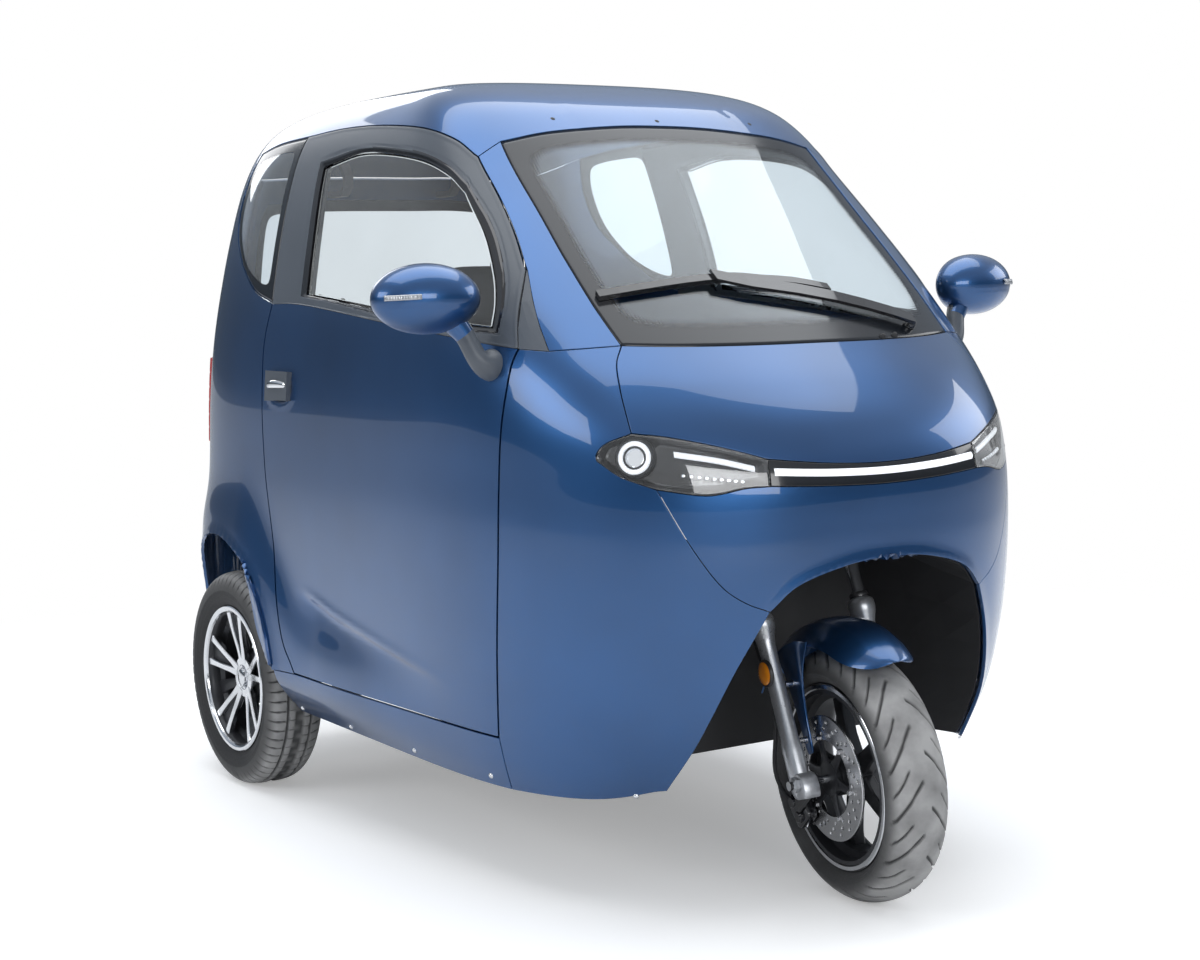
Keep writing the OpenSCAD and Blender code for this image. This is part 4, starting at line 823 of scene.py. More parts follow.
def tidy_mesh(o, angle=35):
    """Merges doubles, turns all faces outward and keeps edges sharper than an angle crisp."""
    import bmesh
    b = bmesh.new()
    b.from_mesh(o.data)
    bmesh.ops.remove_doubles(b, verts=b.verts, dist=2e-5)
    bmesh.ops.dissolve_degenerate(b, edges=b.edges, dist=1e-6)
    bmesh.ops.recalc_face_normals(b, faces=b.faces)
    for e in b.edges:
        if len(e.link_faces) == 2 and e.calc_face_angle(0) > math.radians(angle):
            e.smooth = False
    b.to_mesh(o.data)
    b.free()
    return o


def plate(outline, at, x_dir, y_dir, thick, edge=0.8):
    """Flat plate with rounded rims: an outline in two directions, its bevel rings and caps."""
    q = np.asarray(outline, float)
    x_dir, y_dir = unit(np.asarray(x_dir, float)), unit(np.asarray(y_dir, float))
    z_dir = np.cross(x_dir, y_dir)
    step = unit(np.roll(q, -1, 0) - np.roll(q, 1, 0))
    area = np.sum(q[:, 0] * np.roll(q[:, 1], -1) - np.roll(q[:, 0], -1) * q[:, 1])
    inward = np.stack([-step[:, 1], step[:, 0]], -1) * np.sign(area)
    rings = [(edge, 0), (0.3 * edge, 0.3 * edge), (0, edge), (0, thick - edge),
             (0.3 * edge, thick - 0.3 * edge), (edge, thick)]
    points = np.stack([np.asarray(at, float) + (q + inward * a) @ np.stack([x_dir, y_dir])
                       + z_dir * (h - thick / 2) for a, h in rings])
    n = len(q)
    faces = grid_faces(len(rings), n, ring=True).tolist()
    faces += [list(range(n - 1, -1, -1)), list(range((len(rings) - 1) * n, len(rings) * n))]
    return points.reshape(-1, 3), faces


def skin_point(y=None, z=None, x=None, rear=False):
    """Point and outward normal of the body: on the right side at y, z or on an end at x, z."""
    c = side([[y, z]]) if x is None else nose([[x, z]], rear)
    return skin(c)[0], skin_normal(c)[0]


# DOORS
# Two front-hinged doors. Each is a blue skin with a blade-shaped hollow low down, a black
# window frame with a gloss inner surround, a fixed pane, and a chrome pull handle in a cup.
DOOR = 30
door_rows, door_columns = 96, 90
blade = np.array([[-300, 395], [-60, 430], [150, 465], [300, 500]])


def door_relief(p):
    """Blade hollow: 9 mm deep under a crisp upper edge that climbs to the rear, fading out
    below and at both ends; and a cup of 11 mm behind the handle."""
    y, z = p[..., 1], p[..., 2]
    edge = np.interp(y, blade[:, 0], blade[:, 1])
    drop = edge - z
    ends = smooth(-330, -60, y) * smooth(345, 200, y)
    hollow = -8.5 * ends * smooth(-7, 9, drop) * np.exp(-(np.maximum(drop, 0) / 62)**1.6)
    lip = 2.6 * ends * np.exp(-((drop + 11) / 11)**2)
    cup = ((y - 392) / 60)**2 + ((z - 948) / 34)**2
    bowl = -9 * smooth(1.0, 0.35, cup) + 2.0 * np.exp(-((cup - 1.15) / 0.3)**2)
    return hollow + lip + bowl


def doors():
    """Skins, window frames and panes of both doors."""
    skin_part = sheet_part(coons(rail(door_columns, door_low), rail(door_columns, waist),
                                 rail(door_rows, door_front), rail(door_rows, door_rear)),
                           (3, 3, 3, 0.6), relief=door_relief)
    outer = np.vstack([l[:-1] for l in (
        rail(24, sail_rear), rail(48, frame_front), rail(64, roof_side),
        rail(44, pillar_rear)[::-1], rail(76, waist)[::-1])])
    fore = curve(side([[-458, 1090], [-446, 1140], [-412, 1198], [-350, 1272], [-262, 1352]]))
    over = curve(side([[-262, 1352], [-190, 1394], [-90, 1424], [60, 1444], [200, 1450], [350, 1430]]))
    aft = curve(side([[312, 1152], [326, 1280], [350, 1430]]))
    under = curve(side([[-458, 1090], [-300, 1100], [-60, 1120], [312, 1152]]))
    inner = np.vstack([l[:-1] for l in (rail(72, fore), rail(64, over), rail(44, aft)[::-1],
                                        rail(76, under)[::-1])])
    t = np.linspace(0, 1, 22)[:, None, None]
    grid = outer * (1 - t) + inner * t
    points, out = skin(grid), skin_normal(grid)
    step = unit(points[1] - points[0])
    gap = np.full(len(outer), 3.0)
    gap[180:] = 0.6
    points = points + gap[:, None] * step * (1 - t)
    lengths = np.concatenate([np.zeros((1, len(outer))),
                              np.cumsum(np.linalg.norm(np.diff(points, axis=0), axis=-1), 0)])
    to_glass = lengths[-1:] - lengths
    # a double groove round the glass, and a raised bead along the outer rim
    profile = (-1.6 * np.exp(-((to_glass - 26) / 1.8)**2) - 1.6 * np.exp(-((to_glass - 19) / 1.8)**2)
               - 3.2 * smooth(16, 2, to_glass) + 1.2 * np.exp(-((lengths - 5) / 3)**2))
    points = points + profile[..., None] * out
    faces = grid_faces(*points.shape[:2], ring=True)
    if np.cross(points[3, 1] - points[3, 0], points[4, 0] - points[3, 0]) @ out[3, 0] < 0:
        faces = faces[:, ::-1]
    glass = sheet_part(coons(rail(60, under), rail(60, over), rail(50, fore), rail(50, aft)),
                       (0.5, 0.5, 0.5, 0.5), depth=8)
    for hand, mirrored in (("right", False), ("left", True)):
        turn = flip if mirrored else (lambda part: part)
        body = "door_" + hand
        skin_o = mesh_of("door_panel_" + hand, [turn(skin_part)[:2]], body, blue)
        finish_shell(skin_o, DOOR, 1.6)
        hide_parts("door_skin_" + hand)
        surround = mesh_of("door_window_frame_" + hand, [turn((points.reshape(-1, 3), faces))], body,
                           [trim, gloss_black])
        near = np.repeat((to_glass[:-1] < 22).ravel(), 1)
        surround.data.polygons.foreach_set("material_index", near.astype(int))
        finish_shell(surround, 26, 1.6)
        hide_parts("door_frame_" + hand)
        window = mesh_of("door_pane_" + hand, [turn(glass)[:2]], body, clear_glass)
        finish_shell(window, 5, 0)
        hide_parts("door_glass_" + hand)


doors()


def handle_parts():
    """Chrome pull: a bowed bar standing 20 mm off the door between two feet."""
    t = np.linspace(0, 1, 25)
    spots = side(np.stack([338 + 108 * t, 955 - 5 * t + 4 * np.sin(np.pi * t)], -1))
    p, n = skin(spots), skin_normal(spots)
    lift = 3 + 14 * np.sin(np.pi * np.clip(t, 0, 1))**0.5
    path = p + lift[:, None] * n
    return tube(path, 9 * np.sqrt(np.maximum(np.sin(np.pi * (0.06 + 0.88 * t)), 0.05)), 18, squash=0.62)


handle_points, handle_faces = handle_parts()
cup_lining = sheet_part(coons(*[curve(side(q), 30) for q in (
    [[346, 924], [438, 922]], [[346, 974], [438, 974]], [[346, 924], [346, 974]],
    [[438, 922], [438, 974]])]), (0, 0, 0, 0), depth=5.5)
for hand, sign in (("right", 1), ("left", -1)):
    pull = mesh_of("pull_handle_" + hand, [(handle_points * [sign, 1, 1], handle_faces)],
                   "door_" + hand, chrome)
    tidy_mesh(pull, 60)

# MIRRORS
# Egg-shaped blue shells with a ribbed indicator strip, a black rim round the glass and a
# horn-shaped black foot that curves down to the door.
mirror_centre, mirror_turn = np.array([-676.0, -445, 1147]), math.radians(-8)


def mirror_place(p, sign):
    """From the mirror's own directions (out, back, up) to its place on one side."""
    c, s = math.cos(mirror_turn), math.sin(mirror_turn)
    p = np.asarray(p, float)
    q = np.stack([c * p[..., 0] - s * p[..., 1], s * p[..., 0] + c * p[..., 1], p[..., 2]], -1)
    return (q + mirror_centre) * [sign, 1, 1]


def mirror_shell():
    """Ellipsoid 212 by 132 cut flat at the back, its nose drawn forward a little; the rim
    turns in round the glass."""
    u = np.linspace(0, 2 * np.pi, 64, endpoint=False)[None, :]
    w = np.linspace(0.0, 1.0, 30)[:, None]
    bend = np.pi / 2 * w
    x = 105 * np.cos(u) * np.sin(bend + 0.275 * w)
    z = 65.5 * np.sin(u) * np.sin(bend + 0.275 * w)
    y = -65.5 * np.cos(bend + 0.275 * w)
    groove = 0.8 * np.exp(-((z + 12 + 0.03 * x) / 1.2)**2) * (y < -8)
    grow = 1 - groove / 70
    return np.stack([x * grow, y * grow, z * grow + 0 * w], -1)


for hand, sign in (("right", 1), ("left", -1)):
    shell = mirror_shell()
    faces = grid_faces(*shell.shape[:2], ring=True)
    rim_u = np.linspace(0, 2 * np.pi, 64, endpoint=False)
    rings = [np.stack([a * np.cos(rim_u), np.full(64, y), b * np.sin(rim_u)], -1) for a, b, y in
             ((101, 63, 17.8), (99, 61, 19.5), (95.5, 57.5, 19.5), (94, 56, 15), (90, 53, 15))]
    blue_shell = mesh_of("mirror_shell_" + hand, [(mirror_place(shell, sign), faces)],
                         "door_" + hand, blue)
    tidy_mesh(blue_shell, 50)
    finish_shell(blue_shell, 2.5, 0)
    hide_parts("mirror_" + hand)
    rim_faces = grid_faces(5, 64, ring=True).tolist()
    rim_o = mesh_of("mirror_rim_" + hand, [(mirror_place(np.stack(rings), sign), rim_faces)],
                    "door_" + hand, grained)
    tidy_mesh(rim_o, 40)
    finish_shell(rim_o, 2, 0)
    glass_u, glass_r = np.meshgrid(rim_u, np.linspace(0.02, 1, 10))
    disc = np.stack([92 * glass_r * np.cos(glass_u), 15.5 - 1.5 * (1 - glass_r**2),
                     54 * glass_r * np.sin(glass_u)], -1)
    cap_face = [list(range(64))]
    glass_o = mesh_of("mirror_glass_" + hand, [(mirror_place(disc, sign),
                                                grid_faces(10, 64, ring=True).tolist() + cap_face)],
                      "door_" + hand, chrome)
    tidy_mesh(glass_o, 60)
    finish_shell(glass_o, 2, 0)
    # ribbed indicator strip on the outer front quarter
    t = np.linspace(0, 1, 61)
    strip = []
    for offset in np.linspace(-5, 5, 5):
        bend_x = -92 + 62 * t
        zz = 3 + 2 * t + offset
        yy = -66.4 * np.sqrt(np.maximum(1 - (bend_x / 107)**2 - (zz / 67)**2, 0.02))
        strip.append(np.stack([bend_x, yy - 1.0 * (np.sin(t * np.pi * 30) > 0) * (abs(offset) < 4), zz], -1))
    strip_o = mesh_of("mirror_indicator_" + hand, [(mirror_place(np.stack(strip), sign),
                                                    grid_faces(5, 61).tolist())],
                      "door_" + hand, silver)
    finish_shell(strip_o, 3, 0)
    foot, out = skin_point(-476, 1022)
    t = np.linspace(0, 1, 40)[:, None]
    ends = [foot - 1.5 * out, foot + 52 * out + [0, -4, -6], np.array([-590, -470, 1062.0]),
            np.array([-622, -457, 1104.0])]
    path = ((1 - t)**3 * ends[0] + 3 * t * (1 - t)**2 * ends[1] + 3 * t**2 * (1 - t) * ends[2]
            + t**3 * ends[3])
    wide = 17.5 + 13 * np.exp(-(t[:, 0] / 0.22)**1.5) + 2 * t[:, 0]
    arm_points, arm_faces = tube(path, wide, 28)
    arm = mesh_of("mirror_foot_" + hand, [(arm_points * [sign, 1, 1], arm_faces)], "door_" + hand,
                  trim)
    tidy_mesh(arm, 50)
    t = np.linspace(0, 1, 12)[:, None]
    cone = path[-9] * (1 - t) + np.array([-640, -452, 1124.0]) * t
    neck_points, neck_faces = tube(cone, 19.5 + 7 * t[:, 0], 28)
    neck = mesh_of("mirror_neck_" + hand, [(neck_points * [sign, 1, 1], neck_faces)],
                   "door_" + hand, blue)
    tidy_mesh(neck, 50)

# TYRES
# Black rubber, 130/60-13 in front with slanting curved grooves, and squarer tyres behind with
# three grooves round them and short side grooves. Moulded, with a bead on each side.
RAKE, PARKED = math.radians(22), math.radians(-9)
steer_turn = np.array([[math.cos(PARKED), -math.sin(PARKED), 0],
                       [math.sin(PARKED), math.cos(PARKED), 0], [0, 0, 1]])
rake_turn = np.array([[1, 0, 0], [0, math.cos(RAKE), math.sin(RAKE)],
                      [0, -math.sin(RAKE), math.cos(RAKE)]])
steer_foot = np.array([0, -860 + 48 / math.cos(RAKE), 243.0])
front_axle = np.array([0, -48.0, -48 * math.tan(RAKE)])


def steered(p):
    """From the fork's own directions, z along its axis and -y ahead, to the parked place."""
    return np.asarray(p, float) @ steer_turn.T @ rake_turn.T + steer_foot


def front_wheel_place(p):
    """From [radius directions y and z, axle along x] in the wheel to its parked place."""
    return steered(np.asarray(p, float) + front_axle)


def rear_wheel_place(sign):
    """Placer of a rear wheel whose outside faces sign times X."""
    return lambda p: np.asarray(p, float) * [sign, sign, 1] + [sign * 545, 700, 252]


def rubber(name):
    """Dull black rubber: mottled grain, and lighter scuffs weighted by a per-point attribute; their light grey is
    partly dust and wear and partly a painted highlight on the crown.
    """
    m, tree, shader = new_material(name)
    where = add_node(tree, "TexCoord")
    grain = add_node(tree, "TexNoise", Scale=260.0, Detail=4.0)
    scuff = add_node(tree, "TexNoise", Scale=14.0, Detail=6.0)
    wear_and_painted_light = add_node(tree, "Attribute", attribute_name="wear_and_painted_light")
    for n in (grain, scuff):
        tree.links.new(where.outputs["Object"], n.inputs["Vector"])
    dust_and_painted_light = add_node(tree, "Math", operation="MULTIPLY")
    tree.links.new(scuff.outputs[0], dust_and_painted_light.inputs[0])
    tree.links.new(wear_and_painted_light.outputs["Fac"], dust_and_painted_light.inputs[1])
    # Ramp from black rubber to a light grey of 0.36: partly dust and wear, partly a painted highlight.
    tone = add_node(tree, "ValToRGB")
    tone.color_ramp.elements[0].position, tone.color_ramp.elements[1].position = 0.0, 0.62
    tone.color_ramp.elements[0].color = (0.020, 0.020, 0.021, 1)
    tone.color_ramp.elements[1].color = (0.36, 0.355, 0.35, 1)
    tree.links.new(dust_and_painted_light.outputs[0], tone.inputs[0])
    tree.links.new(tone.outputs[0], shader.inputs["Base Color"])
    ruff = add_node(tree, "MapRange")
    ruff.inputs["To Min"].default_value, ruff.inputs["To Max"].default_value = 0.55, 0.85
    tree.links.new(grain.outputs[0], ruff.inputs["Value"])
    tree.links.new(ruff.outputs[0], shader.inputs["Roughness"])
    lift = add_node(tree, "Bump", Strength=0.35, Distance=0.0006)
    tree.links.new(grain.outputs[0], lift.inputs["Height"])
    tree.links.new(lift.outputs[0], shader.inputs["Normal"])
    return m


tyre_rubber = rubber("tyre_rubber")


def groove(distance, width, soft=1.2):
    """1 inside a groove of a width and 0 outside it, with a soft edge."""
    return smooth(width / 2 + soft, width / 2 - soft * 0.3, np.abs(distance))


def front_tread(k, s):
    """Depth of the front tread at angle k and place s across (-1 to 1): pairs of grooves that
    start near the middle and sweep back towards the shoulders, 15 round the tyre."""
    turns = 15
    depth = np.zeros_like(k)
    for hand, shift in ((1, 0.0), (-1, 0.5)):
        a = np.clip(hand * s, 0, 1)
        sweep = 0.95 * a**1.35
        phase = (k / (2 * np.pi) * turns + shift - sweep) % 1.0
        pitch = 2 * np.pi * 243 / turns
        long = groove((phase - 0.5) * pitch, 7.5) * smooth(0.06, 0.14, a) * smooth(0.97, 0.86, a)
        short = groove((((phase + 0.5) % 1.0) - 0.5) * pitch, 5.0) * smooth(0.42, 0.50, a) * smooth(0.93, 0.84, a)
        depth = np.maximum(depth, np.maximum(long, short))
    return 4.2 * depth


def rear_tread(k, s):
    """Depth of the rear tread: four straight grooves, sipes between them and notched
    shoulders, 64 round the tyre."""
    depth = np.zeros_like(k)
    for line_at in (-0.42, -0.14, 0.14, 0.42):
        wave = 0.012 * np.sin(k * 32)
        depth = np.maximum(depth, groove((s - line_at - wave) * 69, 5.2))
    phase = (k / (2 * np.pi) * 64 + 0.35 * s) % 1.0
    pitch = 2 * np.pi * 252 / 64
    across = groove((phase - 0.5) * pitch, 2.8) * smooth(0.46, 0.52, np.abs(s)) * smooth(0.98, 0.9, np.abs(s))
    sipes = 0.6 * groove((phase - 0.5) * pitch, 1.8) * (np.abs(s) < 0.40)
    return 4.6 * np.maximum(depth, np.maximum(across, sipes))


def tyre(name, node, body, place, radius, width, rim, bead, square, tread, steps):
    """Tyre as one closed revolve: sidewalls with moulded rings, a crown r = rim + rise times
    cos(a)^square, lowered by its tread, and an inner wall 11 mm in."""
    a = np.radians(np.concatenate([np.linspace(-80, -62, 5), np.linspace(-60, 60, 60),
                                   np.linspace(62, 80, 5)]))
    r = rim + 12 + (radius - rim - 12) * np.abs(np.cos(a))**square
    x = width / 2 * np.sign(a) * np.abs(np.sin(a))**square
    inner_a = np.radians(np.linspace(60, -60, 9))
    inner_r = rim + 10 + (radius - rim - 21) * np.abs(np.cos(inner_a))**square
    inner_x = (width / 2 - 11) * np.sign(inner_a) * np.abs(np.sin(inner_a))**square
    low = np.array([[rim - 13.7, 12 - bead], [rim - 13.7, -bead], [rim - 3, -bead - 0.5], [rim + 2, -bead - 1]])
    wall_t = np.linspace(0, 1, 12)[1:-1, None]
    low_wall = low[-1] * (1 - wall_t) + np.array([r[0], x[0]]) * wall_t
    bulge = np.sin(np.pi * wall_t[:, 0])
    low_wall[:, 1] -= 3.0 * bulge
    rings = 0.7 * (np.sin(wall_t[:, 0] * 22) > 0.75)
    low_wall[:, 1] -= rings
    high_wall = low_wall[::-1] * [1, -1]
    profile = np.vstack([low, low_wall, np.stack([r, x], -1), high_wall, low[::-1] * [1, -1],
                         [[rim + 4, bead - 9]], np.stack([inner_r, inner_x], -1), [[rim + 4, 9 - bead]]])
    k = np.linspace(0, 2 * np.pi, steps, endpoint=False)[:, None]
    first = len(low) + len(low_wall)
    crown = slice(first, first + len(r))
    radii = np.repeat(profile[None, :, 0], steps, 0)
    alongs = np.repeat(profile[None, :, 1], steps, 0)
    s = (x / (width / 2))[None, :] + 0 * k
    cut = tread(k + 0 * s, s)
    normal_r, normal_x = np.cos(a)[None], np.sin(a)[None]
    radii[:, crown] -= cut * normal_r
    alongs[:, crown] -= cut * normal_x
    # Per-point weight of the light scuff colour: 1 on the raised crown, down to 0.15 in the groove bottoms and fading
    # towards the shoulders, 0.12 on the first sidewall. The light crown is partly wear and partly a painted highlight;
    # the darker grooves are painted shade.
    wear_and_painted_light = np.zeros_like(radii)
    wear_and_painted_light[:, crown] = 1.0 - 0.85 * cut / cut.max()
    wear_and_painted_light[:, crown] *= smooth(1.02, 0.75, np.abs(s)) * 0.9 + 0.1
    wear_and_painted_light[:, len(low):first] = 0.12
    points = np.stack([alongs, radii * np.cos(k), radii * np.sin(k)], -1)
    n = profile.shape[0]
    rows = np.arange(steps * n).reshape(steps, n)
    nxt, on = np.roll(rows, -1, 0), np.roll(rows, -1, 1)
    faces = np.stack([rows, on, np.roll(nxt, -1, 1), nxt], -1).reshape(-1, 4)
    o = mesh_of(name, [(place(points.reshape(-1, 3)), faces)], body, tyre_rubber,
                values={"wear_and_painted_light": wear_and_painted_light.ravel()})
    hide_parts(node)
    return tidy_mesh(o, 50)


tyre("front_tyre_rubber", "front_tyre", "front_wheel", front_wheel_place, 243, 130, 177, 46, 0.95,
     front_tread, 540)
for hand, sign in (("right", -1), ("left", 1)):
    tyre("rear_tyre_rubber_" + hand, "rear_tyre_" + hand, "rear_wheel_" + hand,
         rear_wheel_place(sign), 252, 138, 172, 54, 0.55, rear_tread, 640)

# RIMS
# Cast alloy. The rear ones have five pairs of machined silver spokes over dark pockets, five
# nuts and a cap; the front one is satin black with a polished lip and five broad spokes.


def barrel(rim, bead):
    """Closed profile of a rim's barrel: flanges, bead seats and a well in the middle."""
    seat = rim - 14
    return np.array([[seat - 5, -bead - 4], [rim - 1, -bead - 4], [rim, -bead - 2], [rim, -bead - 0.3],
                     [seat, -bead - 0.3], [seat, -22], [seat - 12, -14], [seat - 12, 14], [seat, 22],
                     [seat, bead + 0.3], [rim, bead + 0.3], [rim, bead + 2], [rim - 1, bead + 4],
                     [seat + 4, bead + 4], [seat - 2, bead - 2], [seat - 6, bead - 12], [seat - 6, 26],
                     [seat - 17, 18], [seat - 17, -18], [seat - 5, -26]])


def spoke(inner, outer, widths, faces_at, thick, angle, lean=0.0, steps=14):
    """Cast spoke along a radius: a rounded box section whose width, face and lean vary from
    hub to rim. Directions: x along the axle to the outside, y and z in the wheel's plane."""
    t = np.linspace(0, 1, steps)
    radius = inner + (outer - inner) * t
    w = np.interp(t, np.linspace(0, 1, len(widths)), widths) / 2
    face = np.interp(t, np.linspace(0, 1, len(faces_at)), faces_at)
    k = np.radians([20, 60, 90, 120, 160, 200, 235, 270, 305, 340])
    section = np.stack([np.sign(np.cos(k)) * np.abs(np.cos(k))**0.35, np.sign(np.sin(k)) * np.abs(np.sin(k))**0.35], -1)
    across = section[None, :, 0] * w[:, None] + lean * t[:, None]
    depth = face[:, None] - thick / 2 + section[None, :, 1] * thick / 2
    c, s = math.cos(angle), math.sin(angle)
    y = c * radius[:, None] - s * across
    z = s * radius[:, None] + c * across
    points = np.stack([depth + 0 * y, y, z], -1)
    n = len(k)
    faces = grid_faces(steps, n, ring=True).tolist()
    faces += [list(range(n - 1, -1, -1)), list(range((steps - 1) * n, steps * n))]
    return points.reshape(-1, 3), faces


x_axis = np.array([1.0, 0, 0])
for hand, sign in (("right", -1), ("left", 1)):
    place = rear_wheel_place(sign)
    dark = [turned(barrel(172, 54), (0, 0, 0), x_axis, 96),
            turned([[0, 16], [60, 16], [66, 10], [66, -24], [42, -30], [0, -30]], (0, 0, 0), x_axis, 48)]
    bright = [turned([[172.2, 58.3], [170, 60.2], [163, 60.2], [159, 57.5], [157, 52], [160.5, 50],
                      [168, 55]], (0, 0, 0), x_axis, 96)]
    for i in range(5):
        middle = math.radians(90 + 72 * i)
        for hand_way in (-1, 1):
            bright.append(spoke(34, 161, [20, 15, 13.5, 14, 19], [33, 37, 43, 48, 52], 15,
                                middle + hand_way * 0.155, lean=hand_way * 7))
        dark.append(spoke(50, 154, [20, 24, 34, 44], [18, 26, 36, 42], 8, middle))
        dark.append(spoke(50, 154, [18, 20, 26, 34], [12, 16, 22, 30], 8, middle + math.radians(36)))
        nut = middle + math.radians(36)
        hexes = turned([[0, 30], [8.5, 30], [9.5, 28], [9.5, 12], [0, 12]],
                       (0, 31 * math.cos(nut), 31 * math.sin(nut)), x_axis, 6)
        bright.append(hexes)
    bright.append(turned([[0, 39], [14, 38.5], [19, 36], [20, 32], [20, 20], [44, 20], [48, 28],
                          [47, 31], [30, 32], [24, 24], [21, 14], [0, 14]], (0, 0, 0), x_axis, 48))
    dark_o = mesh_of("rim_casting_" + hand, [(place(p), f) for p, f in dark],
                     "rear_wheel_" + hand, dark_alloy)
    bright_o = mesh_of("rim_machined_faces_" + hand, [(place(p), f) for p, f in bright],
                       "rear_wheel_" + hand, polished)
    for o in (dark_o, bright_o):
        tidy_mesh(o, 30)
    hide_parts("rear_rim_" + hand)

front_dark = [turned(barrel(177, 46), (0, 0, 0), x_axis, 96),
              turned([[8, 50], [34, 50], [36, 44], [36, -44], [34, -50], [8, -50]], (0, 0, 0), x_axis, 40)]
for i in range(5):
    front_dark.append(spoke(32, 160, [44, 34, 34, 46], [16, 15, 18, 24], 24, math.radians(18 + 72 * i)))
front_rim_o = mesh_of("front_rim_casting", [(front_wheel_place(p), f) for p, f in front_dark],
                      "front_wheel", dark_alloy)
tidy_mesh(front_rim_o, 30)
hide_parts("front_rim")
lips = [turned([[177.2, s * 50.3], [175, s * 52], [168, s * 52], [163.5, s * 48], [164, s * 45.5],
                [172, s * 47]], (0, 0, 0), x_axis, 96) for s in (-1, 1)]
lip_o = mesh_of("front_rim_lips", [(front_wheel_place(p), f) for p, f in lips], "front_wheel",
                polished)
tidy_mesh(lip_o, 30)

# BRAKE DISC AND CALIPER
# Drilled steel disc on a black carrier at the right of the hub, gripped by a two-piston caliper
# bolted to the right-hand fork leg; its hose loops up beside the leg.
DISC_X = -60


def drilled_disc():
    """Ring 4 mm thick, 72 to 119 mm, with a wave of three rows of holes. The grid's cells are
    left out where a hole is, and the holes' walls come with the sheet's thickness."""
    steps, rings = 360, 26
    k = np.linspace(0, 2 * np.pi, steps, endpoint=False)[:, None]
    r = np.linspace(72, 119, rings)[None, :]
    points = np.stack([np.full((steps, rings), DISC_X + 2.0), r * np.cos(k), r * np.sin(k)], -1)
    faces = []
    rows = np.arange(steps * rings).reshape(steps, rings)
    nxt = np.roll(rows, -1, 0)
    quads = np.stack([rows[:, :-1], rows[:, 1:], nxt[:, 1:], nxt[:, :-1]], -1)
    centre = points.reshape(-1, 3)[quads].mean(2)
    keep = np.ones(quads.shape[:2], bool)
    for row, (ring_r, shift) in enumerate(((84, 0.0), (95, 0.33), (106, 0.66))):
        for i in range(18):
            a = 2 * np.pi * (i + shift) / 18
            d = np.hypot(centre[..., 1] - ring_r * math.cos(a), centre[..., 2] - ring_r * math.sin(a))
            keep &= d > 3.6
    faces = quads[keep]
    return points.reshape(-1, 3), faces


disc_points, disc_faces = drilled_disc()
disc_o = mesh_of("drilled_disc", [(front_wheel_place(disc_points), disc_faces)], "front_wheel",
                 steel)
finish_shell(disc_o, 4, 0)
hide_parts("brake_disc")
carrier = [turned([[8, DISC_X + 9.7], [32, DISC_X + 9.7], [32, DISC_X - 2.4], [24, DISC_X - 4.5], [8, DISC_X - 4.5]],
                  (0, 0, 0), x_axis, 40)]
bolts = []
for i in range(6):
    a = math.radians(60 * i + 30)
    carrier.append(spoke(28, 80, [26, 17, 15, 20], [DISC_X + 2.6, DISC_X + 2.6], 4.6, a))
    bolts.append(turned([[0, DISC_X - 7], [4.5, DISC_X - 7], [5.5, DISC_X - 5.5], [5.5, DISC_X + 3], [0, DISC_X + 3]],
                        (0, 77 * math.cos(a), 77 * math.sin(a)), x_axis, 12))
tidy_mesh(mesh_of("disc_carrier", [(front_wheel_place(p), f) for p, f in carrier], "front_wheel",
                  dark_alloy), 30)
tidy_mesh(mesh_of("disc_bolts", [(front_wheel_place(p), f) for p, f in bolts], "front_wheel",
                  steel), 30)


def on_fork(points):
    """From the wheel's own directions, fixed to the fork."""
    return front_wheel_place(points)


def rounded_block(low, high, radius=6, tilt=0.0):
    """Box with rounded vertical corners and softened ends, turned about X by a tilt."""
    low, high = np.array(low, float), np.array(high, float)
    half = (high - low) / 2
    k = np.radians(np.arange(0, 360, 15))
    ring = np.stack([np.sign(np.cos(k)) * (half[1] - radius) + radius * np.cos(k),
                     np.sign(np.sin(k)) * (half[2] - radius) + radius * np.sin(k)], -1)
    c, s = math.cos(tilt), math.sin(tilt)
    layers = []
    for x, inset in ((-half[0], 3), (-half[0] + 1, 1), (-half[0] + 3, 0), (half[0] - 3, 0),
                     (half[0] - 1, 1), (half[0], 3)):
        q = ring * (1 - inset / np.maximum(half[1:], 1))
        layers.append(np.stack([np.full(len(k), x), c * q[:, 0] - s * q[:, 1], s * q[:, 0] + c * q[:, 1]], -1))
    middle = (low + high) / 2
    middle = np.array([middle[0], c * middle[1] - s * middle[2], s * middle[1] + c * middle[2]])
    points = np.stack(layers) + middle
    n = len(k)
    faces = grid_faces(6, n, ring=True).tolist() + [list(range(n - 1, -1, -1)), list(range(5 * n, 6 * n))]
    return points.reshape(-1, 3), faces


TILT = math.radians(-20)
caliper = [rounded_block((-86, 82, -33), (-64.2, 138, 33), 12, TILT),
           rounded_block((-55.8, 82, -33), (-41, 138, 33), 12, TILT),
           rounded_block((-84, 124, -26), (-42, 140, 26), 6, TILT),
           rounded_block((-92, 12, -14), (-86.5, 118, 16), 9, TILT)]
for z in (-16, 16):
    middle = np.array([-86, 112 * math.cos(TILT) - z * math.sin(TILT), 112 * math.sin(TILT) + z * math.cos(TILT)])
    caliper.append(turned([[0, -8], [9, -8], [12, -5], [12, 2], [0, 2]], middle, x_axis, 24))
caliper_o = mesh_of("caliper_body", [(on_fork(p), f) for p, f in caliper], "steering",
                    gloss_black)
tidy_mesh(caliper_o, 35)
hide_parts("brake_caliper")
t = np.linspace(0, 1, 60)
hose = np.stack([-88 - 14 * np.sin(np.pi * t), 118 - 40 * t + 26 * np.sin(2.4 * np.pi * t),
                 -20 + 330 * t - 30 * np.sin(np.pi * t)], -1)
hose_o = mesh_of("brake_hose", [(on_fork(p), f) for p, f in [tube(hose, 4.2, 10)]], "steering",
                 grained)
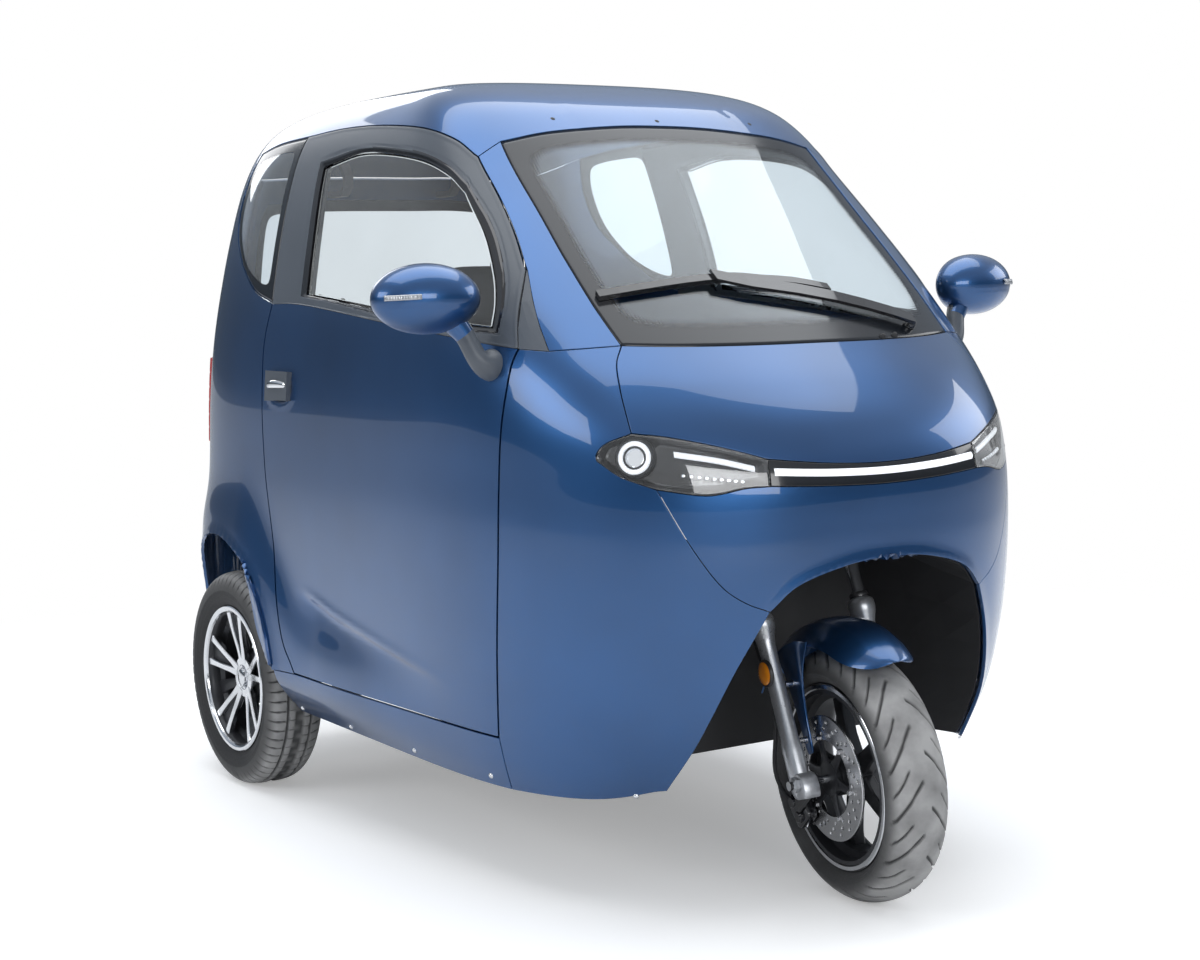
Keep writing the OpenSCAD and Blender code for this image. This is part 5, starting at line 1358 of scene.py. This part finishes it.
tidy_mesh(hose_o, 50)

# FORK
# Silver telescopic legs with flared shoulders over bright stanchions, a steel crown and stem,
# lugs that take the axle and a round amber reflector on each leg.


def leg_point(s, y, z):
    """Place beside a leg: the leg's line is x = 112 s, y = -30 and z counts up the axis."""
    return np.array([s * 112.0, -30 + y, z])


AXLE_Z = front_axle[2]
silver_parts, bright_parts, black_parts, amber_parts = [], [], [], []
for s in (-1, 1):
    base = np.array([s * 112, -30, AXLE_Z])
    z_axis = np.array([0, 0, 1.0])
    silver_parts.append(turned([[0, -27], [12, -27], [17, -23], [19.5, -14], [20, 4], [20, 66], [19, 76],
                                [17, 88], [16.6, 250], [17, 268], [19, 282], [24.5, 300], [26, 308],
                                [26, 320], [24, 325], [19, 329], [16, 331], [0, 331]], base, z_axis, 40))
    bright_parts.append(turned([[0, 0], [15, 0], [15, 205], [0, 205]], base + [0, 0, 325 - 120 + 0], z_axis, 32))
    black_parts.append(turned([[0, 0], [18, 0], [19, 3], [17.5, 8], [15.2, 10], [0, 10]],
                              base + [0, 0, 331.5], z_axis, 32))
    lug = [[-15, -30], [-21, -22], [-22, 0], [-14, 15], [0, 20], [14, 16], [22, 2], [19, -16], [10, -27]]
    silver_parts.append(plate(curve(lug + lug[:1], 40)[:-1] * [1, 1], np.array([s * 112, -48, AXLE_Z]),
                              (0, 1, 0), (0, 0, 1), 34, 3))
    silver_parts.append(plate([[-16, 60], [16, 60], [14, 96], [-4, 100], [-14, 92]],
                              np.array([s * 112, -24, AXLE_Z]), (0, 1, 0), (0, 0, 1), 16, 2))
    silver_parts.append(turned([[0, 0], [14, 0], [15, 2], [15, 9], [12.5, 11], [0, 11]],
                               np.array([s * 129, -48, AXLE_Z]), (s, 0, 0), 6))
    bright_parts.append(turned([[0, 0], [9, 0], [9, 8], [0, 8]], np.array([s * 140, -48, AXLE_Z]), (s, 0, 0), 16))
    silver_parts.append(turned([[0, 0], [24, 0], [26, 3], [26, 25], [24, 28], [0, 28]],
                               np.array([s * 112, -30, 383]), (0, 0, 1), 32))
    amber_at = np.array([s * 131, -34, AXLE_Z + 216])
    amber_parts.append(turned([[0, 7], [10, 6.8], [19, 5.4], [22, 3.6], [22.5, 0], [0, 0]], amber_at, (s, 0, 0), 40))
    black_parts.append(turned([[0, 3], [25, 3], [26, 1.5], [26, -4], [8, -5], [8, -18], [0, -18]], amber_at,
                              (s, 0, 0), 40))
crown = np.array([[-112, -54], [112, -54], [112, -8], [60, 8], [28, 24], [-28, 24], [-60, 8], [-112, -8]])
silver_parts.append(plate(crown, (0, 0, 397), (1, 0, 0), (0, 1, 0), 26, 3))
black_parts.append(turned([[0, 0], [20, 0], [20, 417], [0, 417]], (0, 0, 383), (0, 0, 1), 40))
bright_parts.append(turned([[0, -137], [7.6, -137], [7.6, 137], [0, 137]], (0, -48, AXLE_Z), (1, 0, 0), 24))
amber = finish("amber_reflector", (0.80, 0.26, 0.015), 0.10, grain=900, bump=0.35, depth=0.001, coat=1.0)
for name, parts, slot_name, used in (
        ("fork_sliders", silver_parts, "alloy", silver), ("fork_stanchions", bright_parts, "alloy", chrome),
        ("fork_stem_and_seals", black_parts, "dark_alloy", frame_black),
        ("fork_reflectors", amber_parts, "lamp_lens", amber)):
    o = mesh_of(name, [(steered(p), f) for p, f in parts], "steering", used)
    tidy_mesh(o, 35)
    if name == "fork_sliders":
        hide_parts("front_fork")

# FRONT FENDER
# Blue moulding that follows the tyre: a crowned strip with turned-down sides, drawn to a blunt
# point in front, with a side plate down to two bolts on each leg.


def fender_strip():
    """Strip over 142 to 236 degrees round the axle, from behind over the top to the front: its
    half width is 76 and closes to a point in front as a quarter ellipse, its crown falls
    towards the sides as |s|^2.4, and a soft ridge runs along each side."""
    t = np.linspace(0, 1, 72)[:, None]
    s = np.linspace(-1, 1, 41)[None, :]
    angle = np.radians(142 + 94 * t)
    taper = np.clip((1 - t) / 0.22, 0, 1)
    half = 14 + 62 * np.sqrt(np.clip(1 - (1 - taper)**2.2, 0, 1))
    fall = 46 * (half / 76)**1.3
    r = 297 - 4 * (1 - taper)**2 - fall * np.abs(s)**2.4 + 1.6 * np.exp(-((np.abs(s) - 0.5) / 0.05)**2) * taper
    return np.stack([half * s, r * np.sin(angle), -r * np.cos(angle)], -1)


strip = fender_strip()
faces = grid_faces(*strip.shape[:2])
if np.cross(strip[30, 21] - strip[30, 20], strip[31, 20] - strip[30, 20]) @ strip[30, 20] < 0:
    faces = faces[:, ::-1]
fender = mesh_of("fender_shell", [(on_fork(strip), faces)], "steering", blue)
finish_shell(fender, 3.5, 1.0)
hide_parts("front_fender")
cheek = curve([[-72, 250], [-20, 262], [52, 254], [40, 210], [31, 140], [27, 62], [16, 52], [5, 62],
               [-4, 130], [-26, 196], [-72, 250]], 60)[:-1]
cheeks, stays = [], []
for s in (-1, 1):
    cheeks.append(plate(cheek, (s * 76, 0, 0), (0, 1, 0), (0, 0, 1), 4, 1.2))
    for z in (80, 190):
        stays.append(turned([[0, -2], [5, -2], [7, 0], [7, 2], [6, 2], [6, 18], [0, 18]],
                            (s * 76.5, 18, z), (s, 0, 0), 18))
        stays.append(turned([[0, -5], [5.5, -5], [6.5, -4], [6.5, -1.9], [0, -1.9]], (s * 76.5, 18, z), (s, 0, 0), 6))
cheek_o = mesh_of("fender_side_plates", [(on_fork(p), f) for p, f in cheeks], "steering", blue)
tidy_mesh(cheek_o, 40)
stay_o = mesh_of("fender_bolts", [(on_fork(p), f) for p, f in stays], "steering", steel)
tidy_mesh(stay_o, 35)

# LAMPS
# Each headlamp is a dark tray behind a clear moulded lens, with a white ring round a projector,
# a white bar and a row of small chips. A dark bar with a white strip joins the two lamps.
lens_clear = finish("clear_lens", (0.93, 0.95, 0.97), 0.02, grain=40, bump=0.01, spread=0.02)
lens_clear.node_tree.nodes["Principled BSDF"].inputs["Transmission Weight"].default_value = 1.0
lens_red = finish("red_lens", (0.48, 0.012, 0.015), 0.08, grain=700, bump=0.3, coat=1.0)
glowing = finish("white_light_guide", (0.92, 0.94, 0.97), 0.3, grain=900, bump=0.1, spread=0.03)
guide = glowing.node_tree.nodes["Principled BSDF"]
guide.inputs["Emission Color"].default_value = (0.95, 0.97, 1, 1)
guide.inputs["Emission Strength"].default_value = 0.55


def tray(part, deep, wall=16):
    """A panel's grid sunk behind the skin: deep in the middle, up to the lens at its rims."""
    p, faces, rims, _ = part
    return p - (deep * smooth(0, wall, rims.min(-1)))[..., None] * lamp_out, faces


def ribbon(places, half, depth, on=nose, n=60):
    """Strip along chart places of [x, z], half wide each way in height, at a depth."""
    c = curve(on(places), n)
    grid = np.stack([c - [0, half], c - [0, half / 2], c, c + [0, half / 2], c + [0, half]])
    p = skin(grid) - (depth - np.array([0, 2, 2.6, 2, 0]))[:, None, None] * skin_normal(grid)
    f = grid_faces(5, n + 1)
    return p, f if np.cross(p[0, 1] - p[0, 0], p[1, 0] - p[0, 0]) @ skin_normal(grid[0, 0]) > 0 else f[:, ::-1]


lamp_grid = coons(rail(56, lamp_low[::-1], curve(lamp_end[:33])), rail(56, lamp_top[::-1], curve(lamp_end[:-33:-1])),
                  rail(20, lamp_joint), rail(20, curve(lamp_end[32:-32])))
lamp_out = skin_normal(lamp_grid)
lens_part = sheet_part(lamp_grid, (0.7, 0.8, 0.8, 0.8))
ring_at, ring_out = skin_point(x=446, z=862)
ring_parts = [turned([[0, -16], [15, -14], [17, -9], [17, -22], [0, -22]], ring_at, ring_out, 40),
              turned([[21, -8], [22, -5.5], [28, -5.5], [30, -8], [29, -12], [22, -12]], ring_at, ring_out, 56)]
bezel = [turned([[30.5, -7], [33, -5], [36, -8], [37, -16], [32, -20]], ring_at, ring_out, 56),
         turned([[17.5, -7], [20, -6], [20.5, -12], [18, -14]], ring_at, ring_out, 48)]
chips = []
for i in range(9):
    at, out = skin_point(x=384 - 11.5 * i, z=830 - 1.6 * i)
    chips.append(turned([[0, -7], [3.0, -7.6], [4.2, -10], [4.2, -14], [0, -14]], at, out, 14))
lamp_pieces = (
    ("headlamp_lenses", [lens_part[:2]], lens_clear, "lamp_lens", 2.5),
    ("headlamp_trays", [tray(lens_part, 19)], gloss_black, "black_plastic", 1.5),
    ("headlamp_bars", [ribbon([[392, 868], [330, 856], [268, 839]], 5.5, 8)], glowing, "lamp_lens", 3),
    ("headlamp_rings", ring_parts[1:], glowing, "lamp_lens", 0),
    ("headlamp_projectors", ring_parts[:1], chrome, "alloy", 0),
    ("headlamp_bezels", bezel, dark_alloy, "dark_alloy", 0),
    ("headlamp_chips", chips, chrome, "alloy", 0))
for name, parts, used, slot_name, wall in lamp_pieces:
    depth = 4.0 if name.endswith("trays") else 0.0
    both = [(np.asarray(p).reshape(-1, 3) - depth * ring_out, f) for p, f in parts]
    both += [(p * [-1, 1, 1], f[:, ::-1] if isinstance(f, np.ndarray) else [q[::-1] for q in f]) for p, f in both]
    o = mesh_of(name, both, "body", used)
    if wall:
        finish_shell(o, wall, 0)
    else:
        tidy_mesh(o, 40)
    if name == "headlamp_lenses":
        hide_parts("headlamps")
bar_grid = coons(rail(80, bar_low), rail(80, bar_top), rail(12, lamp_joint), other(rail(12, lamp_joint)))
bar_part = sheet_part(bar_grid)
bar_o = mesh_of("light_bar_housing", [bar_part[:2]], "body", gloss_black)
finish_shell(bar_o, 6)
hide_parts("light_bar")
strip_o = mesh_of("light_bar_strip", [ribbon([[236, 831], [120, 824], [0, 821], [-120, 824], [-236, 831]],
                                            6.5, -0.4, n=90)], "body", glowing)
finish_shell(strip_o, 2, 0)
tail_o = []
for (x0, x1), z0, z1, used, name in (((470, 519), 792, 998, lens_red, "tail_lamp_lenses"),):
    part = sheet_part(coons(*[curve(tail(q), 40) for q in (
        [[x1, z0], [x0, z0]], [[x1 - 4, z1], [x0 - 4, z1]], [[x1, z0], [x1 - 4, z1]], [[x0, z0], [x0 - 4, z1]])]),
        (0, 0, 0, 0), depth=-10,
        relief=lambda p: 0.7 * (np.abs(((p[..., 2] - 792) / 34) % 1 - 0.5) < 0.42))
    tail_o = mesh_of(name, [part[:2], flip(part)[:2]], "body", used)
    finish_shell(tail_o, 9, 2.0)
    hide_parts("tail_lamps")

# WIPER, WASHERS, ROOF KNOBS AND SILL SCREWS
# One flat black blade on a pivoted arm sweeps the screen. Small domed knobs sit on the roof and
# plated screws hold the sills.
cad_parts["wiper"].data.materials.clear()
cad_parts["wiper"].data.materials.append(gloss_black)
small, plated = [], []
for x, z in ((-205, 1056), (-170, 1055)):
    at, out = skin_point(x=x, z=z)
    small.append(turned([[0, 7], [3, 6.5], [5, 4], [7, 0.5], [7, -2], [0, -2]], at, out, 16))
for x, z in ((249, 1500), (0, 1500), (-249, 1500)):
    at, out = skin(nose([[x, z]]))[0], skin_normal(nose([[x, z]]))[0]
    small.append(turned([[0, 0.6], [4, 0.4], [6, -0.5], [6, -3], [0, -3]], at, out, 16))
for y in (-700, -400, -120, 160, 400):
    for s in (1, -1):
        at, out = skin_point(y=y, z=226)
        plated.append(turned([[0, 3.5], [3, 3.2], [5.5, 1.4], [6, 0.2], [6, -2], [0, -2]], at * [s, 1, 1],
                             out * [s, 1, 1], 18))
tidy_mesh(mesh_of("washer_jets_and_knobs", small, "body", grained), 40)
tidy_mesh(mesh_of("sill_screws", plated, "body", chrome), 40)
hinge_dark = finish("hidden_black", (0.03, 0.03, 0.032), 0.5)
for node in ("sail_trims",):
    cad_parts[node].data.materials.clear()
    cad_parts[node].data.materials.append(trim)
pane_o = sheet_part(coons(*[rail(n, l) for n, l in (
    (60, curve(tail([[372, 1075], [180, 1066], [0, 1064], [-180, 1066], [-372, 1075]]))),
    (60, curve(tail([[345, 1372], [180, 1384], [0, 1387], [-180, 1384], [-345, 1372]]))),
    (40, curve(tail([[372, 1075], [378, 1120], [366, 1320], [345, 1372]]))))] + [around(rail(40, curve(
        tail([[372, 1075], [378, 1120], [366, 1320], [345, 1372]]))))]), depth=1.2)
pane("tailgate_pane", "hatch_glass", [pane_o], "tailgate", quarter_tint, 12)

# TAILGATE
# Blue frame, 16 mm thick, hinged under the roof, with a bonded pane and a black grip.
gate_outer = np.vstack([l[:-1] for l in (rail(76, hatch_side), rail(64, hatch_top),
                                         around(rail(76, hatch_side))[::-1], rail(64, hatch_low)[::-1])])
pane_side = curve(tail([[372, 1075], [378, 1120], [366, 1320], [345, 1372]]))
gate_inner = np.vstack([l[:-1] for l in (
    rail(76, pane_side), rail(64, curve(tail([[345, 1372], [180, 1384], [0, 1387], [-180, 1384], [-345, 1372]]))),
    around(rail(76, pane_side))[::-1],
    rail(64, curve(tail([[372, 1075], [180, 1066], [0, 1064], [-180, 1066], [-372, 1075]])))[::-1])])
t = np.linspace(0, 1, 26)[:, None, None]
gate_grid = gate_outer * (1 - t) + gate_inner * t
gate_points, gate_normals = skin(gate_grid), skin_normal(gate_grid)
gate_points = gate_points + 3.0 * unit(gate_points[1] - gate_points[0]) * (1 - t)
hollow = smooth(235, 215, np.abs(gate_points[..., 0])) * smooth(706, 726, gate_points[..., 2]) * smooth(
    930, 910, gate_points[..., 2])
gate_points = gate_points - 5 * hollow[..., None] * gate_normals
gate_faces = grid_faces(*gate_points.shape[:2], ring=True)
if np.cross(gate_points[3, 1] - gate_points[3, 0], gate_points[4, 0] - gate_points[3, 0]) @ gate_normals[3, 0] < 0:
    gate_faces = gate_faces[:, ::-1]
gate = mesh_of("tailgate_frame", [(gate_points, gate_faces)], "tailgate", blue)
finish_shell(gate, 14, 1.5)
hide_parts("hatch_frame")

# SEATS AND CONTROLS
# Foam cushions in grained black cover: crowned, with piped seams and sewn channels. The driver
# steers with a handlebar whose rubber grips stand behind the dash.
hide = finish("seat_cover", (0.030, 0.031, 0.034), 0.52, grain=340, bump=0.45, depth=0.0009)


def cushion(name, node, centre, size, lean, channels):
    """Pillow form: a rounded box whose faces swell with the product of cosines of their two
    places, pulled in along sewn channels and round a piped middle seam."""
    u, w = np.meshgrid(np.linspace(-np.pi, np.pi, 121), np.linspace(-np.pi / 2, np.pi / 2, 61))
    power = lambda q, e: np.sign(q) * np.abs(q)**e
    x = power(np.cos(w), 0.32) * power(np.cos(u), 0.30)
    y = power(np.cos(w), 0.32) * power(np.sin(u), 0.30)
    z = power(np.sin(w), 0.45)
    crown = (1 - x**2 * 0.75) * (1 - y**2 * 0.75)
    sewn = np.exp(-((((x + 1) / 2 * channels) % 1 - 0.5) * 9)**2) * smooth(0.93, 0.8, np.abs(y))
    piping = 0.035 * np.exp(-(z / 0.07)**2)
    scale = 1 - piping * -1
    p = np.stack([x * size[0] / 2 * scale, y * size[1] / 2 * scale,
                  z * size[2] / 2 * (0.80 + 0.20 * crown) - 0.05 * size[2] * sewn * np.sign(z)], -1)
    c, s = math.cos(lean), math.sin(lean)
    p = np.stack([p[..., 0], c * p[..., 1] - s * p[..., 2], s * p[..., 1] + c * p[..., 2]], -1) + centre
    p = p[:, :-1]
    o = mesh_of(name, [(p, grid_faces(61, 120, ring=True))], "body", hide)
    tidy_mesh(o, 180)
    if node:
        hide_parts(node)


LEAN = math.radians(78)
cushion("driver_seat_cushion", "driver_seat", (0, 108, 541), (412, 388, 86), 0, 5)
cushion("driver_seat_back", None, (0, 388, 800), (404, 460, 74), LEAN, 5)
cushion("driver_headrest", None, (0, 478, 1136), (236, 138, 66), LEAN, 1)
cushion("rear_bench_cushion", "rear_seat", (0, 690, 606), (820, 318, 84), 0, 8)
cushion("rear_bench_back", None, (0, 880, 810), (812, 372, 70), LEAN, 8)
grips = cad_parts["handlebar"]
grips.data.materials.clear()
grips.data.materials.append(grained)
